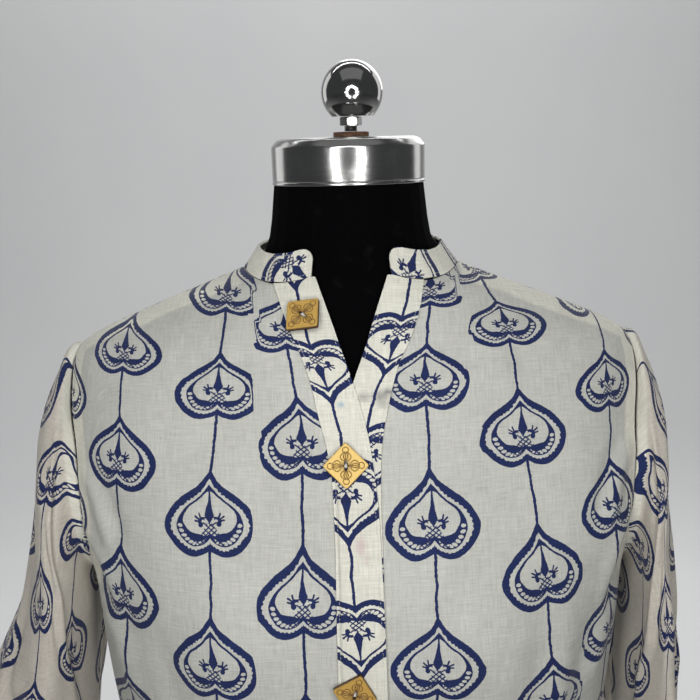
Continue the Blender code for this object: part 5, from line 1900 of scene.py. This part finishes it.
def turned_piece(name, outline, node, material, x=0.0, steps=96, wide=None):
    """A turned or six-sided piece in place of a CAD node, from its outline of radius and height."""
    turn = 2.0 * pi * np.arange(steps) / steps
    radius = np.array([row[0] for row in outline])[:, None]
    height = np.array([row[1] for row in outline])[:, None]
    across = np.ones((1, steps)) if wide is None else wide(turn)[None, :]
    spread = np.minimum(radius, np.maximum(radius, 1e-6) * across)
    if wide is not None:
        spread = np.minimum(radius, across)
    points = np.stack(np.broadcast_arrays(
        x + spread * np.cos(turn), spread * np.sin(turn), height), axis=-1)
    item = solid_piece(name, points, material=material)
    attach(item, "root")
    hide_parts(node)
    return item


def rounded(outline, reach=0.0006, steps=4):
    """An outline of radius and height with its corners rounded."""
    made = [outline[0]]
    for before, here, after in zip(outline, outline[1:], outline[2:]):
        before, here, after = np.array(before), np.array(here), np.array(after)
        first, last = before - here, after - here
        short = min(reach, 0.4 * np.linalg.norm(first), 0.4 * np.linalg.norm(last))
        first = here + first / np.linalg.norm(first) * short
        last = here + last / np.linalg.norm(last) * short
        for t in np.linspace(0.0, 1.0, steps):
            point = first * (1 - t) ** 2 + here * 2 * t * (1 - t) + last * t * t
            made.append((float(point[0]), float(point[1])))
    made.append(outline[-1])
    return made


def make_fittings(chrome, worn_chrome, steel, rust, paint):
    """The cap, washer, stud, nut and ball on the neck, and the stand below."""
    cap = (
        (0.0004, CAP_TOP_Z - 0.0003),
        (0.0200, CAP_TOP_Z - 0.0002),
        (CAP_TOP_RADIUS, CAP_TOP_Z),
        (CAP_TOP_RADIUS + 0.0036, CAP_TOP_Z - 0.0014),
        (CAP_RADIUS, CAP_EDGE_Z),
        (CAP_RADIUS - 0.0002, CAP_LOW_Z + 0.0030),
        (CAP_RADIUS - 0.0006, CAP_LOW_Z + 0.0024),
        (CAP_RADIUS, CAP_LOW_Z + 0.0018),
        (CAP_RADIUS, CAP_LOW_Z),
        (0.0004, CAP_LOW_Z),
    )
    turned_piece("neck_cap_metal", rounded(cap, 0.0009), "neck_cap", worn_chrome, steps=128)
    washer = (
        (0.0004, WASHER_TOP_Z - 0.0004),
        (STUD_RADIUS + 0.0004, WASHER_TOP_Z - 0.0004),
        (STUD_RADIUS + 0.0006, WASHER_TOP_Z),
        (WASHER_RADIUS, WASHER_TOP_Z - 0.0002),
        (WASHER_RADIUS, WASHER_LOW_Z),
        (0.0004, WASHER_LOW_Z),
    )
    turned_piece(
        "washer_rusty", rounded(washer, 0.0005), "finial_washer", rust, FINIAL_X, 72
    )
    stud = [(0.0003, STUD_TOP_Z)]
    count = 5
    for k in range(count):
        high = mix(STUD_TOP_Z, STUD_LOW_Z, k / count)
        low = mix(STUD_TOP_Z, STUD_LOW_Z, (k + 1) / count)
        stud += [(STUD_RADIUS - 0.0005, high), (STUD_RADIUS, mix(high, low, 0.5))]
    stud += [(STUD_RADIUS - 0.0005, STUD_LOW_Z), (0.0003, STUD_LOW_Z)]
    turned_piece("stud_threaded", stud, "finial_stud", steel, FINIAL_X, 48)
    corner = NUT_ACROSS / 2.0 / cos(radians(30))

    def hexagon(turn):
        away = (turn - radians(10)) % (pi / 3.0) - pi / 6.0
        return NUT_ACROSS / 2.0 / np.cos(away)

    nut = (
        (0.0003, NUT_TOP_Z),
        (corner * 0.87, NUT_TOP_Z),
        (corner * 0.90, NUT_TOP_Z - 0.0002),
        (corner * 0.95, NUT_TOP_Z - 0.0006),
        (corner, NUT_TOP_Z - 0.0012),
        (corner, NUT_LOW_Z + 0.0009),
        (corner * 0.95, NUT_LOW_Z + 0.0003),
        (corner * 0.90, NUT_LOW_Z),
        (0.0003, NUT_LOW_Z),
    )
    turned_piece("nut_hex", nut, "finial_nut", steel, FINIAL_X, 144, hexagon)
    lowest = (BALL_FLAT_Z - BALL_Z) / BALL_TALL
    stop = pi - np.arcsin((1.0 - lowest**2) ** 0.5)
    ball = [(0.0002, BALL_Z + BALL_TALL)]
    for turn in np.linspace(0.03, stop, 56):
        ball.append((BALL_RADIUS * sin(turn), BALL_Z + BALL_TALL * cos(turn)))
    ball.append((0.0002, BALL_FLAT_Z))
    turned_piece("ball_polished", ball, "finial_ball", chrome, BALL_X, 96)
    pole = (
        (0.0004, POLE_TOP_Z),
        (POLE_RADIUS, POLE_TOP_Z),
        (POLE_RADIUS, mix(POLE_LOW_Z, POLE_TOP_Z, 0.5)),
        (POLE_RADIUS, POLE_LOW_Z),
        (0.0004, POLE_LOW_Z),
    )
    turned_piece("pole_tube", rounded(pole), "stand_pole", chrome, steps=64)
    base = (
        (0.0004, 0.042), (0.021, 0.042), (0.024, 0.038), (0.026, 0.016), (0.180, 0.012),
        (0.190, 0.008), (0.190, 0.0), (0.0004, 0.0),
    )
    turned_piece("base_disc", rounded(base, 0.0016), "stand_base", paint, steps=160)


def seat_matrix(button):
    """Where a button lies, just above the highest point of the cloth under it."""

    def cloth(x, z):
        at = base_point(x, z, -1)
        return at + base_normal(x, z, -1) * top_lift(x, z)[..., None]

    out = Vector(base_normal(np.array(button.x), np.array(button.z), -1))
    up = Vector((0.0, 0.0, 1.0))
    up = (up - out * up.dot(out)).normalized()
    lean = Matrix.Rotation(radians(-button.back), 3, up.cross(out))
    lean = Matrix.Rotation(radians(-button.aside), 3, up) @ lean
    out, up = lean @ out, lean @ up
    turn = radians(button.turn)
    steps = BUTTON_SIDE * 0.52 * np.linspace(-1.0, 1.0, 7)
    a, b = np.meshgrid(steps, steps)
    here = cloth(np.array(button.x), np.array(button.z))
    under = cloth(button.x + a * cos(turn) - b * sin(turn), button.z + a * sin(turn) + b * cos(turn))
    highest = max(0.0, float(((under - here) @ np.array(out)).max()))
    middle = Vector(here) + out * (highest + BUTTON_SEAT + BUTTON_THICK / 2.0)
    turned = Matrix((up.cross(out), up, out)).transposed().to_4x4()
    return Matrix.Translation(middle) @ turned @ Matrix.Rotation(turn, 4, "Z")


def carved_lines():
    """The burnt lines of a button's face: rings, lines to the middle and eight petals."""
    lines = []
    for quarter in range(4):
        way = pi / 4.0 + quarter * pi / 2.0
        out = np.array((cos(way), sin(way)))
        aside = np.array((-sin(way), cos(way)))
        ring = np.linspace(0.0, 2.0 * pi, 40)[:, None]
        middle = out * 0.0099
        lines.append(middle + 0.0019 * (np.cos(ring) * out + np.sin(ring) * aside))
        run = np.linspace(0.0032, 0.0078, 24)[:, None]
        lines.append(run * out)
        share = np.linspace(0.0, 1.0, 40)[:, None]
        for side in (-1.0, 1.0):
            reach = mix(0.0030, 0.0088, share)
            bulge = 0.0004 + 0.0030 * np.sin(pi * share**0.85) ** 0.75
            lines.append(reach * out + side * bulge * aside)
            inner = 0.0004 + 0.0009 * np.sin(pi * share)
            lines.append(reach * out + side * inner * aside)
            vein = np.linspace(0.15, 0.60, 16)[:, None]
            lines.append(mix(0.0030, 0.0088, vein) * out + side * 0.0020 * vein**0.5 * aside)
    return lines


def distance_to(places, lines):
    best = np.full(len(places), 1.0)
    for line in lines:
        for start in range(0, len(line), 20):
            block = line[start : start + 20]
            away = np.linalg.norm(places[:, None, :] - block[None, :, :], axis=-1)
            best = np.minimum(best, away.min(axis=1))
    return best


def rounded_square(side, corner, turn):
    """Points of a square with round corners, one for each direction."""
    out = np.stack((np.cos(turn), np.sin(turn)), axis=-1)
    flat = side / 2.0 / np.maximum(np.abs(out).max(axis=-1), 1e-9)
    half = side / 2.0 - corner
    centre = np.sign(out) * half
    along = np.einsum("ij,ij->i", out, centre)
    off = np.einsum("ij,ij->i", centre, centre) - along**2
    round_ = along + np.sqrt(np.maximum(corner**2 - off, 0.0))
    at = out * flat[:, None]
    in_corner = (np.abs(at) > half).all(axis=-1)
    return out * np.where(in_corner, round_, flat)[:, None]


def make_button(button, material):
    """A carved block: rings of points from the slot over the face, sides and back."""
    count = 288
    turn = 2.0 * pi * (np.arange(count) + 0.5) / count
    edge = rounded_square(BUTTON_SIDE, BUTTON_CORNER, turn)
    slot_turn = radians(SLOT_DEGREES)
    local = turn - slot_turn
    slot = np.stack((np.cos(local) * SLOT_WIDTH / 2.0, np.sin(local) * SLOT_LENGTH / 2.0), axis=-1)
    tall = np.sign(slot[:, 1]) * (SLOT_LENGTH - SLOT_WIDTH) / 2.0
    way = np.stack((np.cos(local), np.sin(local)), axis=-1)
    slot = way * SLOT_WIDTH / 2.0
    slot[:, 1] += tall * smooth(np.abs(way[:, 1]) / 0.35)
    spin = np.array(((cos(slot_turn), -sin(slot_turn)), (sin(slot_turn), cos(slot_turn))))
    slot = slot @ spin.T
    top = BUTTON_THICK / 2.0
    rim = 0.00035
    rows = []
    for share, z in ((0.0, -top), (0.0, top - 0.0002)):
        rows.append((slot, z))
    for share in np.linspace(0.0, 1.0, 54)[1:]:
        inner = edge * (1.0 - rim / (BUTTON_SIDE / 2.0))
        rows.append((mix(slot, inner, share**1.1), top))
    rows.append((edge * (1.0 - 0.3 * rim / (BUTTON_SIDE / 2.0)), top - 0.3 * rim))
    rows.append((edge, top - rim))
    rows.append((edge, 0.0))
    rows.append((edge, rim - top))
    rows.append((edge * (1.0 - rim / (BUTTON_SIDE / 2.0)), -top))
    flat = np.array([row for row, _ in rows])
    z = np.repeat(np.array([height for _, height in rows])[:, None], count, axis=1)
    face = z > top - 1e-6
    places = flat.reshape(-1, 2)
    away = distance_to(places, carved_lines()).reshape(z.shape)
    z = z - np.where(face, 0.00030 * np.exp(-((away / 0.00028) ** 2)), 0.0)
    middle = np.hypot(flat[..., 0], flat[..., 1])
    diagonal = np.abs(np.abs(flat[..., 0]) - np.abs(flat[..., 1])) / np.sqrt(2.0)
    burnt = 1.0 * np.exp(-((away / 0.00033) ** 2))
    glow = 0.60 * np.exp(-((middle - 0.0010) / 0.0030) ** 2)
    glow = glow + 0.50 * np.exp(-((diagonal / 0.0008) ** 2)) * smooth((0.0078 - middle) / 0.004)
    border = BUTTON_SIDE / 2.0 - np.abs(flat).max(axis=-1)
    glow = glow + 0.30 * np.exp(-((border / 0.0006) ** 2))
    burnt = np.clip(np.maximum(burnt, glow), 0.0, 1.0)
    # Painted shade: the slot's walls and the sides darken below the face, more the deeper they lie; kept as
    # the edge attribute
    dark = smooth((top - 0.0001 - z) / 0.0004) * (1.0 - face)
    points = np.concatenate((flat, z[..., None]), axis=-1)
    matrix = np.array(seat_matrix(button))
    world = points @ matrix[:3, :3].T + matrix[:3, 3]
    steps, columns = z.shape
    index = np.arange(steps * columns).reshape(steps, columns)
    below = np.roll(index, -1, axis=0)
    after, corner = np.roll(index, -1, axis=1), np.roll(below, -1, axis=1)
    quads = np.stack((index, after, corner, below), axis=-1).reshape(-1, 4)
    mesh = bpy.data.meshes.new(f"{button.name}_carved")
    mesh.from_pydata(world.reshape(-1, 3).tolist(), [], quads.tolist())
    bm = bmesh.new()
    bm.from_mesh(mesh)
    bmesh.ops.recalc_face_normals(bm, faces=bm.faces)
    bm.to_mesh(mesh)
    bm.free()
    order = np.zeros(len(mesh.loops), dtype=np.int32)
    mesh.loops.foreach_get("vertex_index", order)
    layer = mesh.uv_layers.new(name="Face")
    layer.data.foreach_set("uv", flat.reshape(-1, 2)[order].ravel())
    for key, values in (("burnt", burnt), ("edge", dark), ("tone", np.full(z.shape, button.tone))):
        data = mesh.attributes.new(key, "FLOAT", "POINT")
        data.data.foreach_set("value", np.ravel(values).astype(np.float32))
    mesh.shade_smooth()
    mesh.materials.append(material)
    item = bpy.data.objects.new(f"{button.name}_carved", mesh)
    fittings_group.objects.link(item)
    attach(item, "root")
    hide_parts(button.name)


def tube(path, radius, sides=8):
    """Rings of points round a path of points, narrowed at both ends."""
    path = np.asarray(path, float)
    way = unit(np.gradient(path, axis=0))
    side = unit(np.cross(way, np.array((0.31, 0.52, 0.79))))
    other = np.cross(way, side)
    turn = 2.0 * pi * np.arange(sides) / sides
    wide = np.full(len(path), radius)
    wide[0] = wide[-1] = radius * 0.3
    ring = np.cos(turn)[None, :, None] * side[:, None] + np.sin(turn)[None, :, None] * other[:, None]
    return path[:, None, :] + ring * wide[:, None, None]


def join_tubes(name, tubes, material):
    """One piece of several threads."""
    verts, faces = [], []
    for rings in tubes:
        rows, columns = rings.shape[:2]
        index = len(verts) + np.arange(rows * columns).reshape(rows, columns)
        after = np.roll(index, -1, axis=1)
        faces += np.stack((index[:-1], after[:-1], after[1:], index[1:]), axis=-1).reshape(-1, 4).tolist()
        faces += [index[0][::-1].tolist(), index[-1].tolist()]
        verts += rings.reshape(-1, 3).tolist()
    mesh = bpy.data.meshes.new(name)
    mesh.from_pydata(verts, [], faces)
    mesh.shade_smooth()
    mesh.materials.append(material)
    item = bpy.data.objects.new(name, mesh)
    fittings_group.objects.link(item)
    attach(item, "root")
    return item


def make_button_threads(material):
    """Strands that rise through each slot and cross its middle."""
    tubes = []
    for button in BUTTONS:
        matrix = np.array(seat_matrix(button) @ Matrix.Rotation(radians(SLOT_DEGREES), 4, "Z"))
        for k, aside in enumerate((-0.00062, -0.00022, 0.00018, 0.00058, 0.0)):
            turn = np.linspace(-1.0, 1.0, 15)
            reach = 0.0015 + 0.00025 * (k % 3)
            high = BUTTON_THICK / 2.0 - 0.0004 + 0.00022 * (k == 4)
            rise = high - (high + BUTTON_THICK / 2.0 + 0.0003) * np.abs(turn) ** 3.2
            local = np.stack((aside + 0.00012 * np.sin(turn * 5 + k), turn * reach, rise), axis=-1)
            tubes.append(tube(local @ matrix[:3, :3].T + matrix[:3, 3], 0.00025))
    join_tubes("button_threads", tubes, material)


# Thread ends left on the sleeves: side, a place near the root, and steps from the root
LOOSE_THREADS = (
    (
        "left",
        (-0.2135, -0.0720, 1.2200),
        ((0, 0, 0), (0, -0.0012, -0.0040), (0.0008, -0.0016, -0.0100), (-0.0035, -0.0018, -0.0160),
         (-0.0065, -0.0016, -0.0235)),
    ),
    ("left", (-0.219, -0.060, 1.240), ((0, 0, 0), (-0.0030, -0.0005, 0.0020), (-0.0058, -0.0006, 0.0030))),
    ("left", (-0.219, -0.060, 1.239), ((0, 0, 0), (-0.0026, -0.0005, -0.0006), (-0.0050, -0.0004, 0.0012))),
    (
        "right",
        (0.2215, -0.055, 1.120),
        ((0, 0, 0), (0.0026, -0.0004, -0.0010), (0.0040, -0.0006, -0.0042), (0.0036, -0.0004, -0.0085)),
    ),
)


def make_loose_threads(sleeves, material):
    tubes = []
    for side, near, steps in LOOSE_THREADS:
        places = sleeves[side][0].reshape(-1, 3)
        root = places[int(np.linalg.norm(places - np.array(near), axis=1).argmin())]
        steps = np.array(steps, float)
        marks = np.arange(len(steps))
        at = np.linspace(0.0, len(steps) - 1.0, 18)
        path = np.stack([curve(marks, steps[:, k], at) for k in range(3)], axis=-1)
        tubes.append(tube(root + path, 0.00015, 6))
    join_tubes("loose_threads", tubes, material)


cloth_group = new_collection("kurta_cloth")
fittings_group = new_collection("fittings")
make_camera()
cotton = cotton_material()
thread = thread_material("white_thread", (0.74, 0.73, 0.67), (0.55, 0.54, 0.49))
wood = wood_material()
chrome = metal_material("chrome", (0.33, 0.33, 0.32), (0.44, 0.44, 0.43), 0.05, 0.10, 0.04)
worn_chrome = metal_material("worn_chrome", (0.35, 0.35, 0.34), (0.47, 0.47, 0.46), 0.13, 0.10, 0.10)
steel = metal_material("plain_steel", (0.34, 0.335, 0.32), (0.50, 0.495, 0.48), 0.20, 0.18, 0.10)
rust = rust_material()
jersey = jersey_material()
paint = paint_material()
grids = make_panels(cotton)
sleeves = make_sleeves(grids, cotton)
bands = make_bands(cotton)
collar = make_collar(cotton)
panel_stitches(grids, thread)
band_stitches(bands, thread)
collar_stitches(collar, thread)
sleeve_stitches(sleeves, thread)
for button in BUTTONS:
    make_button(button, wood)
make_button_threads(thread)
make_loose_threads(sleeves, thread)
make_fittings(chrome, worn_chrome, steel, rust, paint)
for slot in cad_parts["form_body"].material_slots:
    slot.material = jersey
make_studio()
